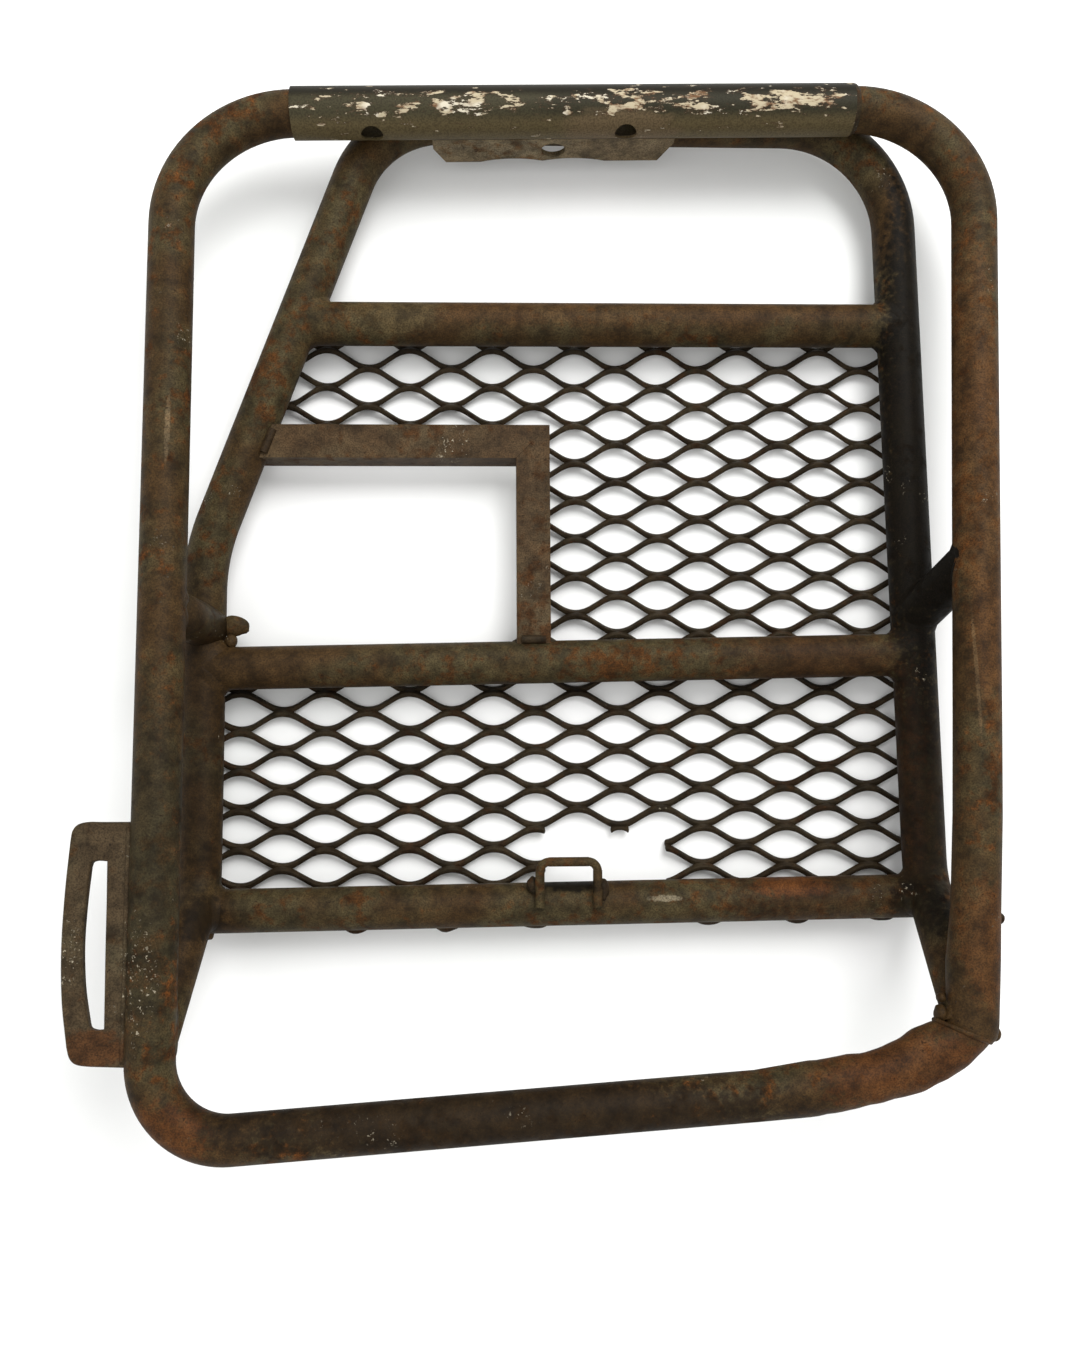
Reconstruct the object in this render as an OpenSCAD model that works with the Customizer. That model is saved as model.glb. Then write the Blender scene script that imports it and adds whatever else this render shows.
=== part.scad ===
// Front grille guard: a welded tube frame with an expanded-metal grille.
// It lies on its grille: +X to the right, +Y towards the top bar, +Z off the table.
// Places are measured from the middle of the lower crossbar, then moved so that
// the origin is under the middle of the whole guard.

/* [Tube stock] */
// Outside diameter of every bent tube, crossbar and strut
tube_od = 25.4; // [20:0.1:32]
// Wall of those tubes
tube_wall = 2.1; // [1.2:0.1:3]
// Gap left at the root of a coped joint, which its weld bridges
root_gap = 0.15; // [0.1:0.05:0.4]
// Leg of the fillet welds at the tube joints
bead = 3; // [2:0.5:5]

/* [Grille frame] */
// Distance between the two leg axes at the lower crossbar
grille_w = 427; // [400:1:450]
// Height of the frame's top bar axis over the lower crossbar
grille_h = 474; // [460:1:485]
// Height at which the left leg leans away towards the top bar
slant_start = 207.5; // [190:0.5:220]
// Lean of the left leg's upper run, in degrees
slant_deg = 20.7; // [15:0.1:24]
// Inward lean of the whole right leg, in degrees
grille_right_lean = 1.39; // [0:0.01:3]
// Centre-line radius of the upper left corner
grille_tl_r = 58; // [50:1:70]
// Centre-line radius of the upper right corner
grille_tr_r = 68; // [55:1:80]
// Centre-line radius of the easy bend low on the slanted leg
slant_bend_r = 125; // [80:1:160]
// Centre-line radius of the knees under the lower crossbar
knee_r = 28; // [24:1:36]
// Climb of the left foot towards the outer hoop, in degrees
left_foot_deg = 52; // [46:0.5:60]
// Climb of the right foot, in degrees
right_foot_deg = 56; // [48:0.5:62]
// Outward roll of the left foot's bend, in degrees
left_foot_roll = 4; // [0:0.5:6]
// Inward roll of the right foot's bend, in degrees
right_foot_roll = 1.5; // [0:0.5:4]
// Distance from the lower crossbar down to the left knee's corner
left_knee = 10; // [4:0.5:16]
// Distance from the lower crossbar down to the right knee's corner
right_knee = 6; // [2:0.5:16]

/* [Crossbars] */
// Height of the middle crossbar over the lower one
middle_bar_y = 142.9; // [130:0.1:150]
// Height of the upper crossbar over the lower one
upper_bar_y = 347.7; // [330:0.1:360]
// Slope of the lower crossbar, in degrees
lower_bar_deg = 0.67; // [0:0.01:1.5]
// Slope of the middle crossbar, in degrees
middle_bar_deg = 0.95; // [0:0.01:1.5]
// Slope of the upper crossbar, in degrees
upper_bar_deg = 0.1; // [0:0.01:1.5]

/* [Outer hoop] */
// Distance of the hoop's top bar axis below the frame's top bar axis
hoop_top_in = 8.9; // [0:0.1:18]
// Distance of the hoop's left corner outside the frame's left leg
hoop_left_out = 13.2; // [8:0.1:26]
// Distance of the hoop's right corner outside the frame's right leg
hoop_right_out = 30.5; // [22:0.1:40]
// Slope of the hoop's top bar, in degrees
hoop_top_deg = 1.18; // [0:0.01:2]
// Inward lean of the hoop's left leg, in degrees
hoop_left_lean = 0.87; // [0:0.01:2]
// Inward lean of the hoop's right leg, in degrees
hoop_right_lean = 3.5; // [2:0.1:5]
// Length of the hoop from its top bar to its bottom bar, beyond the height of the frame
hoop_beyond = 88; // [70:1:110]
// Slope of the bottom bar, in degrees
hoop_bottom_deg = 3.68; // [2:0.01:5]
// Tilt of the hoop out of the grille's plane, in degrees
hoop_tilt = 5.2; // [4:0.1:7]
// Place of the upward kink in the bottom bar, from the middle
kink_x = 140; // [130:0.5:165]
// Extra slope of the bottom bar past its kink, in degrees
kink_deg = 18; // [12:0.5:24]
// Centre-line radius of the upper left corner
hoop_tl_r = 71; // [60:1:72]
// Centre-line radius of the upper right corner
hoop_tr_r = 67; // [55:1:80]
// Centre-line radius of the lower left corner
hoop_bl_r = 40; // [35:1:50]
// Centre-line radius of the kink
kink_r = 200; // [60:5:220]

/* [Top sleeve] */
// Wall of the sleeve over the hoop's top bar
sleeve_wall = 1.5; // [1:0.1:3]
// Length of the sleeve
sleeve_len = 328; // [300:1:340]
// Middle of the sleeve, from the middle of the guard
sleeve_mid = 5.7; // [0:0.1:10]
// Slip fit between the sleeve and the tube, on the radius
sleeve_fit = 0.1; // [0.05:0.05:0.3]
// Diameter of the two holes drilled across the sleeve and its tube
sleeve_hole_d = 13; // [8:0.1:15]
// Place of the left hole, from the middle of the guard
sleeve_hole_left = -112.5; // [-120:0.5:-95]
// Place of the right hole, from the middle of the guard
sleeve_hole_right = 35.7; // [25:0.1:50]
// Reach of the sleeve's plain left end over the start of the hoop's bend
sleeve_over = 2.5; // [2.5:0.1:4]
// Gap between the two hoop tubes inside the sleeve
hoop_butt_gap = 2; // [1:0.5:6]

/* [Mounting plate] */
// Length of the mounting plate along the bars
mount_plate_l = 144.3; // [120:0.1:150]
// Thickness of the plate
mount_plate_t = 3.2; // [2:0.1:5]
// Step back from the sleeve's front to the plate's front face
mount_step = 1.9; // [1:0.1:3]
// Reach of the plate below the sleeve
mount_reach = 17.7; // [14:0.1:24]
// Diameter of the hole in the plate
mount_hole_d = 14.7; // [8:0.1:15]
// Distance of the hole's middle below the sleeve
mount_hole_below = 5.1; // [4.7:0.1:6]
// Middle of the plate, from the middle of the guard
mount_plate_mid = -6; // [-15:0.5:5]
// Chamfer of the plate's left lower corner, across and up
mount_cut_left = [6.8, 15];
// Chamfer of the plate's right lower corner, across and up
mount_cut_right = [7.4, 19];
// Depth of the shallow scoops worn into the plate's lower edge
scoop_depth = 3.5; // [1:0.5:5]
// Radius of those scoops
scoop_r = 60; // [40:5:90]

/* [Expanded metal] */
// Pitch along the long way of the diamond
mesh_lwd = 50.8; // [44:0.1:56]
// Pitch along the short way of the diamond
mesh_swd = 23.54; // [20:0.01:26]
// Width of a strand
strand_w = 3.8; // [2.5:0.1:4.5]
// Thickness of the sheet that it was cut from
strand_t = 3.2; // [1.5:0.1:3.6]
// Tilt of the strands out of the sheet's plane, in degrees
strand_deg = 58; // [45:1:65]
// Length of the bonds between strands
bond_l = 9; // [6:0.5:12]
// Clearance between the sheet and the tubes that are welded to it
mesh_seat = 0.1; // [0.05:0.05:0.3]
// Middle of one diamond opening: across, from the middle of the guard
mesh_x = 7.5; // [4:0.5:12]
// Middle of the same opening: up, from the lower crossbar
mesh_y = 255.5; // [252:0.5:259]
// Left end of the torn gap at the bottom, from the middle
tear_left = -13; // [-16:0.5:-8]
// Right end of the torn gap
tear_right = 52; // [47:0.5:56]
// Height of the torn gap over the lower crossbar
tear_h = 42; // [38.5:0.5:43]

/* [Window] */
// Width and height of the angle section round the window
angle_w = 20; // [16:0.5:22]
// Thickness of the angle section
angle_t = 3; // [2:0.1:4]
// Height of the window's upper edge over the lower crossbar
window_top = 264; // [260:0.5:268]
// Right edge of the window, from the middle
window_right = -29; // [-34:0.5:-24]

/* [Struts] */
// Height of the left strut's head over the lower crossbar
left_strut_head_y = 169.5; // [160:0.5:180]
// Height of the left strut's foot over the lower crossbar
left_strut_foot_y = 157; // [150:0.5:170]
// Offset of the left strut's foot towards the grille
left_strut_in = 2; // [0:0.5:5]
// Reach of the flattened ear on the left strut's foot past the leg
ear_reach = 11; // [8:0.5:14]
// Width of that ear
ear_w = 15; // [10:0.5:18]
// Thickness of that ear
ear_t = 4; // [3:0.5:6]
// Height of the right strut's foot over the lower crossbar
right_strut_foot_y = 167.5; // [160:0.5:180]
// Height of the right strut's head over the lower crossbar
right_strut_head_y = 197.5; // [185:0.5:205]

/* [Slotted plate] */
// Length of the slotted plate along the hoop's left leg
slot_plate_l = 127; // [115:1:140]
// Width of the slotted plate at its middle, from the leg outwards
slot_plate_w = 34; // [32:0.5:40]
// Thickness of the slotted plate
slot_plate_t = 5; // [4:0.1:8]
// Middle of the plate along the leg, over the lower crossbar
slot_plate_y = -8; // [-14:0.5:0]
// Bow of the plate's outer edge
slot_plate_bow = 5.7; // [3:0.1:7]
// Radius of the plate's outer corners
slot_plate_r = 9; // [6:0.5:12]
// Length of the slot
slot_l = 88; // [80:1:95]
// Width of the slot at its ends
slot_w = 7; // [6:0.1:8]
// Bow of the slot's outer edge
slot_bow = 4; // [2:0.5:5]
// Width of the strip between the slot and the leg
slot_in = 10.9; // [8:0.1:12]

/* [Lock staple] */
// Diameter of the staple's rod
staple_d = 5.4; // [4:0.1:7]
// Distance between the axes of its two legs
staple_w = 33.3; // [28:0.1:40]
// Distance from the crossbar's axis to the axis of its bow
staple_h = 26; // [22:0.5:32]
// Centre-line radius of its two corners
staple_r = 5.5; // [4.5:0.1:8]
// Diameter of the weld pads on the outer sides of its legs
staple_pad_d = 9; // [8:0.5:11]

/* [Hidden] */
$fn = 64;
// The thin welds are drawn finer than the rest
weld_fn = 192;

tube_r = tube_od / 2;
sleeve_od = tube_od + 2 * sleeve_fit + 2 * sleeve_wall;
sleeve_r = sleeve_od / 2;
// Diameter that a coped tube is cut to round the tube it meets
cope_d = tube_od + 2 * root_gap;
// A bend draws the tube in by this much, and the straight runs reach this far into it
bend_draw = 0.2;
bend_lap = 0.5;
// Cutters run this far past what they cut
over = 1;
// Height of the flat weld band at the hoop's mitred corner
band_h = 1.2;
// Size of the small welds: the side nub, the tacks and the seam beads
nub_r = 3.5;
tack_r = 6.5;
seam_r = 2.5;
// The tacks are tucked this far under the lower crossbar
tack_in = 3;

rust = "#5a4636";
olive = "#554b3a";
plate_grey = "#5f584a";
sleeve_green = "#4b5148";
dark_mesh = "#3c3026";
weld_brown = "#4c3a2c";

// Heights off the table
mesh_h = 2 * strand_w * sin(strand_deg) + strand_t * cos(strand_deg);
mesh_top = mesh_h + mesh_seat;
frame_z = mesh_top + tube_r;

// The hoop's top bar and corners are set out from the frame
hoop_top_y = grille_h - hoop_top_in;
hoop_drop = grille_h + hoop_beyond;
hoop_left_x = -grille_w / 2 - hoop_left_out;
hoop_right_x = grille_w / 2 + hoop_right_out;

// The sleeve rests on the grille frame's top bar at its right end, where the two run closest
sleeve_end_rise = (sleeve_mid + sleeve_len / 2) * tan(hoop_top_deg);
bar_offset_y = grille_h - hoop_top_y - sleeve_end_rise * cos(hoop_tilt);
bar_gap = sleeve_r + tube_r + root_gap;
hoop_top_z = frame_z + sqrt(bar_gap * bar_gap - bar_offset_y * bar_offset_y)
    + sleeve_end_rise * sin(hoop_tilt);

// Where two straight lines of the plan meet, each given by a point and a heading
function meet(p, a, q, b) =
    let (d = [cos(a), sin(a)], e = [cos(b), sin(b)])
    p + d * cross(q - p, e) / cross(d, e);

// Grille frame: corner points of its centre line, flat on the sheet
grille_left_x = -grille_w / 2;
grille_right_x = grille_w / 2;
slant_heading = 90 - slant_deg;
right_heading = 90 + grille_right_lean;
left_knee_p = [grille_left_x, -left_knee];
slant_p = [grille_left_x, slant_start];
grille_tl = meet(slant_p, slant_heading, [0, grille_h], 0);
grille_tr = meet([grille_right_x, 0], right_heading, [0, grille_h], 0);
right_knee_p = meet([grille_right_x, 0], right_heading, [0, -right_knee], 0);

// Outer hoop: corner points of its centre line in its own tilted plane, from its top bar
left_heading = 270 + hoop_left_lean;
hoop_right_heading = 270 - hoop_right_lean;
hoop_end_heading = hoop_bottom_deg + kink_deg;
hoop_tl = meet([0, 0], hoop_top_deg, [hoop_left_x, 0], left_heading);
hoop_tr = meet([0, 0], hoop_top_deg, [hoop_right_x, 0], hoop_right_heading);
hoop_bl = meet([0, -hoop_drop], hoop_bottom_deg, [hoop_left_x, 0], left_heading);
hoop_kink = meet([0, -hoop_drop], hoop_bottom_deg, [kink_x, 0], 90);
hoop_br = meet(hoop_kink, hoop_end_heading, [hoop_right_x, 0], hoop_right_heading);
hoop_butt = meet([0, 0], hoop_top_deg, [sleeve_mid, 0], 90);

// The two upper bends are no wider than the straight run that the sleeve leaves them
function bend_room(run, turned) = run / tan(turned / 2);
hoop_tl_bend = min(hoop_tl_r, bend_room(norm(hoop_tl - hoop_butt) - sleeve_len / 2 + sleeve_over,
    90 + hoop_left_lean - hoop_top_deg));
hoop_tr_bend = min(hoop_tr_r, bend_room(norm(hoop_tr - hoop_butt) - sleeve_len / 2,
    90 + hoop_right_lean + hoop_top_deg));

// A point of the hoop's plane in the guard's frame
function hoop_at(p) = [p.x, hoop_top_y + p.y * cos(hoop_tilt), hoop_top_z - p.y * sin(hoop_tilt)];
// The point of a line at a given height over the lower crossbar
function at_y(line, y) = line[0] + (line[1] - line[0]) * (y - line[0].y) / (line[1].y - line[0].y);
// A line carried on past its second end
function carried(line, by) = [line[0], line[1] + (line[1] - line[0]) / norm(line[1] - line[0]) * by];
hoop_left_leg = [hoop_at(hoop_tl), hoop_at(hoop_bl)];
hoop_right_leg = carried([hoop_at(hoop_tr), hoop_at(hoop_br)], tube_od);

// Legs of the frame as straight lines, which the crossbars, struts and rails are cut to
function on_frame(p) = [p.x, p.y, frame_z];
left_leg = carried([on_frame(slant_p), on_frame(left_knee_p)], tube_od);
slant_leg = [on_frame(slant_p), on_frame(grille_tl)];
right_leg = carried([on_frame(grille_tr), on_frame(right_knee_p)], tube_od);

// The two ends of a crossbar, on the axes of the legs that it joins
function bar_ends(y, deg, leg_p, leg_heading) =
    [on_frame(meet([0, y], deg, leg_p, leg_heading)),
     on_frame(meet([0, y], deg, [grille_right_x, 0], right_heading))];
lower_bar = bar_ends(0, lower_bar_deg, slant_p, 90);
middle_bar = bar_ends(middle_bar_y, middle_bar_deg, slant_p, 90);
upper_bar = bar_ends(upper_bar_y, upper_bar_deg, slant_p, slant_heading);

// The origin goes under the middle of the whole guard
function bend_centre(p, a, b, r) =
    let (u = (a - p) / norm(a - p), v = (b - p) / norm(b - p), m = (u + v) / norm(u + v))
    p + m * r / sqrt((1 - u * v) / 2);
slot_plate_p = at_y(hoop_left_leg, slot_plate_y);
x_max = bend_centre(hoop_tr, hoop_butt, hoop_br, hoop_tr_bend).x + hoop_tr_bend + tube_r;
x_min = slot_plate_p.x - tube_r - slot_plate_w;
y_max = grille_h + tube_r;
y_min = hoop_at(bend_centre(hoop_bl, hoop_tl, hoop_kink, hoop_bl_r)).y
    - hoop_bl_r * cos(hoop_tilt) - tube_r;
to_origin = [-(x_min + x_max) / 2, -(y_min + y_max) / 2, 0];

// Rods, tubes and bends

module tube_section(od) {
    difference() {
        circle(d = od);
        circle(d = od - 2 * tube_wall);
    }
}

module along(p, q) {
    v = q - p;
    translate(p)
        rotate([0, acos(v.z / norm(v)), atan2(v.y, v.x)])
            children();
}

module rod(p, q, d) {
    along(p, q)
        cylinder(d = d, h = norm(q - p));
}

module line_rod(line, d) {
    rod(line[0], line[1], d);
}

module tube(p, q) {
    along(p, q)
        linear_extrude(norm(q - p))
            tube_section(tube_od);
}

function flat(p) = [p.x, p.y, 0];
function unit(deg) = [cos(deg), sin(deg)];
function heading(a, b) = atan2(b.y - a.y, b.x - a.x);
function wrapped(a) = a > 180 ? a - 360 : a < -180 ? a + 360 : a;
function turn(path, i) = wrapped(heading(path[i], path[i + 1]) - heading(path[i - 1], path[i]));
function is_end(path, i) = i == 0 || i == len(path) - 1;
function setback(path, radii, i) = is_end(path, i) ? 0 : radii[i] * tan(abs(turn(path, i)) / 2);
function lap(path, i) = is_end(path, i) ? 0 : bend_lap;

// One bend of a flat path, with the section drawn as a child
module bend_at(path, radii, i) {
    side = sign(turn(path, i));
    h_in = heading(path[i - 1], path[i]);
    h_out = heading(path[i], path[i + 1]);
    start = path[i] - setback(path, radii, i) * unit(h_in);
    centre = start + radii[i] * side * unit(h_in + 90);
    translate(flat(centre))
        rotate([0, 0, side > 0 ? h_in - 90 : h_out + 90])
            rotate_extrude(angle = abs(turn(path, i)))
                translate([radii[i], 0])
                    children();
}

// One straight run of a flat path
module run_at(path, radii, i) {
    d = (path[i + 1] - path[i]) / norm(path[i + 1] - path[i]);
    p = path[i] + d * (setback(path, radii, i) - lap(path, i));
    q = path[i + 1] - d * (setback(path, radii, i + 1) - lap(path, i + 1));
    along(flat(p), flat(q))
        linear_extrude(norm(q - p))
            children();
}

// A tube bent along a flat path of corner points, with a bend radius at each inner one
module bent_tube(path, radii) {
    for (i = [0 : len(path) - 2])
        run_at(path, radii, i)
            tube_section(tube_od);
    for (i = [1 : len(path) - 2])
        bend_at(path, radii, i)
            tube_section(tube_od - 2 * bend_draw);
}

module bent_rod(path, radii, d) {
    for (i = [0 : len(path) - 2])
        run_at(path, radii, i)
            circle(d = d);
    for (i = [1 : len(path) - 2])
        bend_at(path, radii, i)
            circle(d = d - 2 * bend_draw);
}

module guard_place() {
    translate(to_origin)
        children();
}

module hoop_place() {
    translate([0, hoop_top_y, hoop_top_z])
        rotate([-hoop_tilt, 0, 0])
            children();
}

// A fillet weld round a branch tube that is coped onto a main tube: the branch runs from the main's axis
module saddle_weld(main, b0, b1) {
    $fn = weld_fn;
    difference() {
        intersection() {
            rod(b0, b1, tube_od + 2 * bead);
            line_rod(main, cope_d + 2.7 * bead);
        }
        line_rod(main, cope_d);
        rod(b0, b1 + (b1 - b0) / norm(b1 - b0), tube_od);
    }
}

// Outer hoop

// Heading of the mitre's seam between the bottom bar and the right leg
mitre_heading = (hoop_end_heading + 90 - hoop_right_lean) / 2 + 90;
mitre_reach = 3 * tube_od;

// A slab on one side of the mitre: 1 is the bottom bar's side, -1 is the leg's side
module mitre_slab(side, from, thick) {
    translate(flat(hoop_br))
        rotate([0, 0, mitre_heading])
            translate([-mitre_reach, side > 0 ? from : -from - thick, -tube_od])
                cube([2 * mitre_reach, thick, 2 * tube_od]);
}

module sleeve_hole_cutters() {
    for (x = [sleeve_hole_left, sleeve_hole_right])
        translate(flat(meet([0, 0], hoop_top_deg, [x, 0], 90)))
            rotate([90, 0, hoop_top_deg])
                cylinder(d = sleeve_hole_d, h = 2 * sleeve_od, center = true);
}

module hoop_left_tube() {
    past_mitre = hoop_br + tube_od * unit(hoop_end_heading);
    butt = hoop_butt - hoop_butt_gap / 2 * unit(hoop_top_deg);
    color(rust)
        guard_place()
            hoop_place()
                difference() {
                    bent_tube([butt, hoop_tl, hoop_bl, hoop_kink, past_mitre],
                        [0, hoop_tl_bend, hoop_bl_r, kink_r, 0]);
                    mitre_slab(-1, -root_gap / 2, mitre_reach);
                    sleeve_hole_cutters();
                }
}

module hoop_right_tube() {
    past_mitre = hoop_br + tube_od * unit(hoop_right_heading);
    butt = hoop_butt + hoop_butt_gap / 2 * unit(hoop_top_deg);
    color(rust)
        guard_place()
            hoop_place()
                difference() {
                    bent_tube([butt, hoop_tr, past_mitre], [0, hoop_tr_bend, 0]);
                    mitre_slab(1, -root_gap / 2, mitre_reach);
                    sleeve_hole_cutters();
                }
}

module sleeve_axis_place() {
    hoop_place()
        translate(flat(hoop_butt))
            rotate([0, 0, hoop_top_deg])
                rotate([0, 90, 0])
                    children();
}

module top_sleeve() {
    color(sleeve_green)
        guard_place()
            difference() {
                sleeve_axis_place()
                    translate([0, 0, -sleeve_len / 2])
                        linear_extrude(sleeve_len)
                            difference() {
                                circle(r = sleeve_r);
                                circle(r = tube_r + sleeve_fit);
                            }
                hoop_place()
                    sleeve_hole_cutters();
            }
}

module sleeve_end_weld() {
    step = sleeve_r - tube_r;
    color(weld_brown)
        guard_place()
            sleeve_axis_place()
                translate([0, 0, sleeve_len / 2])
                    rotate_extrude()
                        polygon([[tube_r, 0], [sleeve_r, 0], [sleeve_r - step / 4, step], [tube_r, 2 * step]]);
}

// Two rods that meet at the mitre, each cut off this far from its seam
module mitred_rods(d, thick) {
    leg_far = flat(hoop_br + tube_od * unit(hoop_right_heading));
    bar_far = flat(hoop_br + tube_od * unit(hoop_end_heading));
    leg_near = flat(hoop_br - 2 * tube_od * unit(hoop_right_heading));
    bar_near = flat(hoop_br - 2 * tube_od * unit(hoop_end_heading));
    hoop_place() {
        intersection() {
            rod(leg_near, leg_far, d);
            mitre_slab(-1, 0, thick);
        }
        intersection() {
            rod(bar_near, bar_far, d);
            mitre_slab(1, 0, thick);
        }
    }
}

// The mitre's weld runs round the front of the joint only
module hoop_corner_weld() {
    color(weld_brown)
        guard_place()
            difference() {
                mitred_rods(tube_od + 2 * band_h, bead);
                mitred_rods(tube_od, 2 * bead);
                hoop_place()
                    translate(flat(hoop_br) - [mitre_reach, mitre_reach, tube_od])
                        cube([2 * mitre_reach, 2 * mitre_reach, tube_od + bead / 2]);
            }
}

module leg_weld_nub() {
    out = [tube_r, 0, 0];
    color(weld_brown)
        guard_place()
            difference() {
                rod(at_y(hoop_right_leg, nub_r) + out, at_y(hoop_right_leg, -nub_r) + out, 2 * nub_r);
                line_rod(hoop_right_leg, cope_d);
            }
}

// Grille frame

function knee_setback(deg) = knee_r * tan(deg / 2);

// The bend under the lower crossbar, from the leg's heading up towards the hoop
module knee(p, h, deg, roll) {
    translate(on_frame(p))
        rotate([0, 0, h])
            rotate([roll, 0, 0])
                translate([-knee_setback(deg), 0, knee_r])
                    rotate([90, 0, 0])
                        rotate([0, 0, -90])
                            rotate_extrude(angle = deg)
                                translate([knee_r, 0])
                                    children();
}

// The direction that a foot climbs in, and its two ends: just inside its bend, and on the hoop leg's axis
function foot_dir(h, deg, roll) =
    [cos(h) * cos(deg) + sin(h) * sin(deg) * sin(roll),
     sin(h) * cos(deg) - cos(h) * sin(deg) * sin(roll),
     sin(deg) * cos(roll)];
function foot_line(p, d, from) =
    let (s = on_frame(p) + d * from,
         rise = hoop_top_z + (hoop_top_y - s.y) * tan(hoop_tilt) - s.z)
    [s, s + d * rise / (d.z + d.y * tan(hoop_tilt))];

left_foot_heading = 270;
right_foot_heading = right_heading + 180;
left_foot = foot_line(left_knee_p, foot_dir(left_foot_heading, left_foot_deg, left_foot_roll),
    knee_setback(left_foot_deg) - bend_lap);
right_foot = foot_line(right_knee_p, foot_dir(right_foot_heading, right_foot_deg, right_foot_roll),
    knee_setback(right_foot_deg) - bend_lap);

// The hoop's left leg down to its lower bend, that bend, and the end of its bottom bar
hoop_corner_path = [hoop_tl, hoop_bl, hoop_kink];
hoop_corner_radii = [0, hoop_bl_r, 0];
hoop_leg_end = hoop_bl
    - (setback(hoop_corner_path, hoop_corner_radii, 1) - 2 * bend_lap) * unit(left_heading);

module hoop_foot_clearance() {
    rod(hoop_at(hoop_tl), hoop_at(hoop_leg_end), cope_d);
    hoop_place()
        bend_at(hoop_corner_path, hoop_corner_radii, 1)
            circle(d = cope_d + 2 * bend_draw);
    rod(hoop_at(hoop_kink), hoop_at(hoop_br), cope_d);
}

module knees() {
    knee(left_knee_p, left_foot_heading, left_foot_deg, left_foot_roll)
        children();
    knee(right_knee_p, right_foot_heading, right_foot_deg, right_foot_roll)
        children();
}

module grille_hoop() {
    left_end = left_knee_p + [0, knee_setback(left_foot_deg) - bend_lap];
    right_end = right_knee_p + (knee_setback(right_foot_deg) - bend_lap) * unit(right_heading);
    color(olive)
        guard_place()
            difference() {
                union() {
                    translate([0, 0, frame_z])
                        bent_tube([left_end, slant_p, grille_tl, grille_tr, right_end],
                            [0, slant_bend_r, grille_tl_r, grille_tr_r, 0]);
                    knees()
                        tube_section(tube_od - 2 * bend_draw);
                    tube(left_foot[0], left_foot[1]);
                    tube(right_foot[0], right_foot[1]);
                }
                line_rod(hoop_right_leg, cope_d);
                hoop_foot_clearance();
            }
}

module crossbar(bar, left) {
    difference() {
        tube(bar[0], bar[1]);
        line_rod(left, cope_d);
        line_rod(right_leg, cope_d);
    }
}

module upper_crossbar() {
    color(olive)
        guard_place()
            crossbar(upper_bar, slant_leg);
}

module middle_crossbar() {
    color(olive)
        guard_place()
            crossbar(middle_bar, left_leg);
}

module lower_crossbar() {
    color(olive)
        guard_place()
            difference() {
                crossbar(lower_bar, left_leg);
                knees()
                    circle(d = cope_d);
            }
}

// The first stretch of a tube from one of its ends, long enough for its weld
function stub(p, q) = p + (q - p) / norm(q - p) * 2 * tube_od;

module bar_welds(bar, left) {
    difference() {
        union() {
            saddle_weld(left, bar[0], stub(bar[0], bar[1]));
            saddle_weld(right_leg, bar[1], stub(bar[1], bar[0]));
        }
        translate([-grille_w, -grille_h, 0])
            cube([2 * grille_w, 3 * grille_h, mesh_top + bead / 2]);
    }
}

module upper_bar_welds() {
    color(weld_brown)
        guard_place()
            bar_welds(upper_bar, slant_leg);
}

module middle_bar_welds() {
    color(weld_brown)
        guard_place()
            difference() {
                bar_welds(middle_bar, left_leg);
                rod(left_strut_foot, left_strut_head, cope_d, $fn = weld_fn);
                strut_ear(root_gap);
            }
}

module lower_bar_welds() {
    color(weld_brown)
        guard_place()
            difference() {
                bar_welds(lower_bar, left_leg);
                knees($fn = weld_fn)
                    circle(d = cope_d);
            }
}

module leg_foot_welds() {
    color(weld_brown)
        guard_place()
            difference() {
                union() {
                    saddle_weld(hoop_left_leg, left_foot[1], left_foot[0]);
                    saddle_weld(hoop_right_leg, right_foot[1], right_foot[0]);
                }
                hoop_foot_clearance();
                hoop_place()
                    mitre_slab(1, -bead - root_gap, mitre_reach);
                slot_plate_place()
                    translate([0, -slot_plate_l, -slot_plate_t / 2 - bead])
                        cube([2 * slot_plate_w, 2 * slot_plate_l, slot_plate_t + 2 * bead]);
            }
}

// Struts between the frame's legs and the hoop's legs

left_strut_head = at_y(hoop_left_leg, left_strut_head_y);
left_strut_foot = at_y(left_leg, left_strut_foot_y) + [left_strut_in, 0, 0];
right_strut_head = at_y(hoop_right_leg, right_strut_head_y);
right_strut_foot = at_y(right_leg, right_strut_foot_y);

// The flattened lip of the left strut's foot, grown all round by a clearance
module strut_ear(grow) {
    ear_l = ear_reach + ear_t - ear_w / 2;
    translate(at_y(left_leg, left_strut_foot_y) + [tube_r - ear_t, 0, -grow])
        linear_extrude(ear_t + 2 * grow) {
            translate([0, -ear_w / 2 - grow])
                square([ear_l, ear_w + 2 * grow]);
            translate([ear_l, 0])
                circle(d = ear_w + 2 * grow);
        }
}

module left_strut() {
    color(olive)
        guard_place()
            difference() {
                union() {
                    tube(left_strut_foot, left_strut_head);
                    strut_ear(0);
                }
                line_rod(hoop_left_leg, cope_d);
                line_rod(left_leg, cope_d);
                line_rod(middle_bar, cope_d);
            }
}

module right_strut() {
    color(olive)
        guard_place()
            difference() {
                tube(right_strut_foot, right_strut_head);
                line_rod(hoop_right_leg, cope_d);
                line_rod(right_leg, cope_d);
            }
}

module strut_welds() {
    color(weld_brown)
        guard_place() {
            saddle_weld(hoop_left_leg, left_strut_head, left_strut_foot);
            saddle_weld(hoop_right_leg, right_strut_head, right_strut_foot);
            saddle_weld(right_leg, right_strut_foot, right_strut_head);
        }
}

// Mounting plate hung under the sleeve: its own axes run along the sleeve, away from its front face, and up

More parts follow.
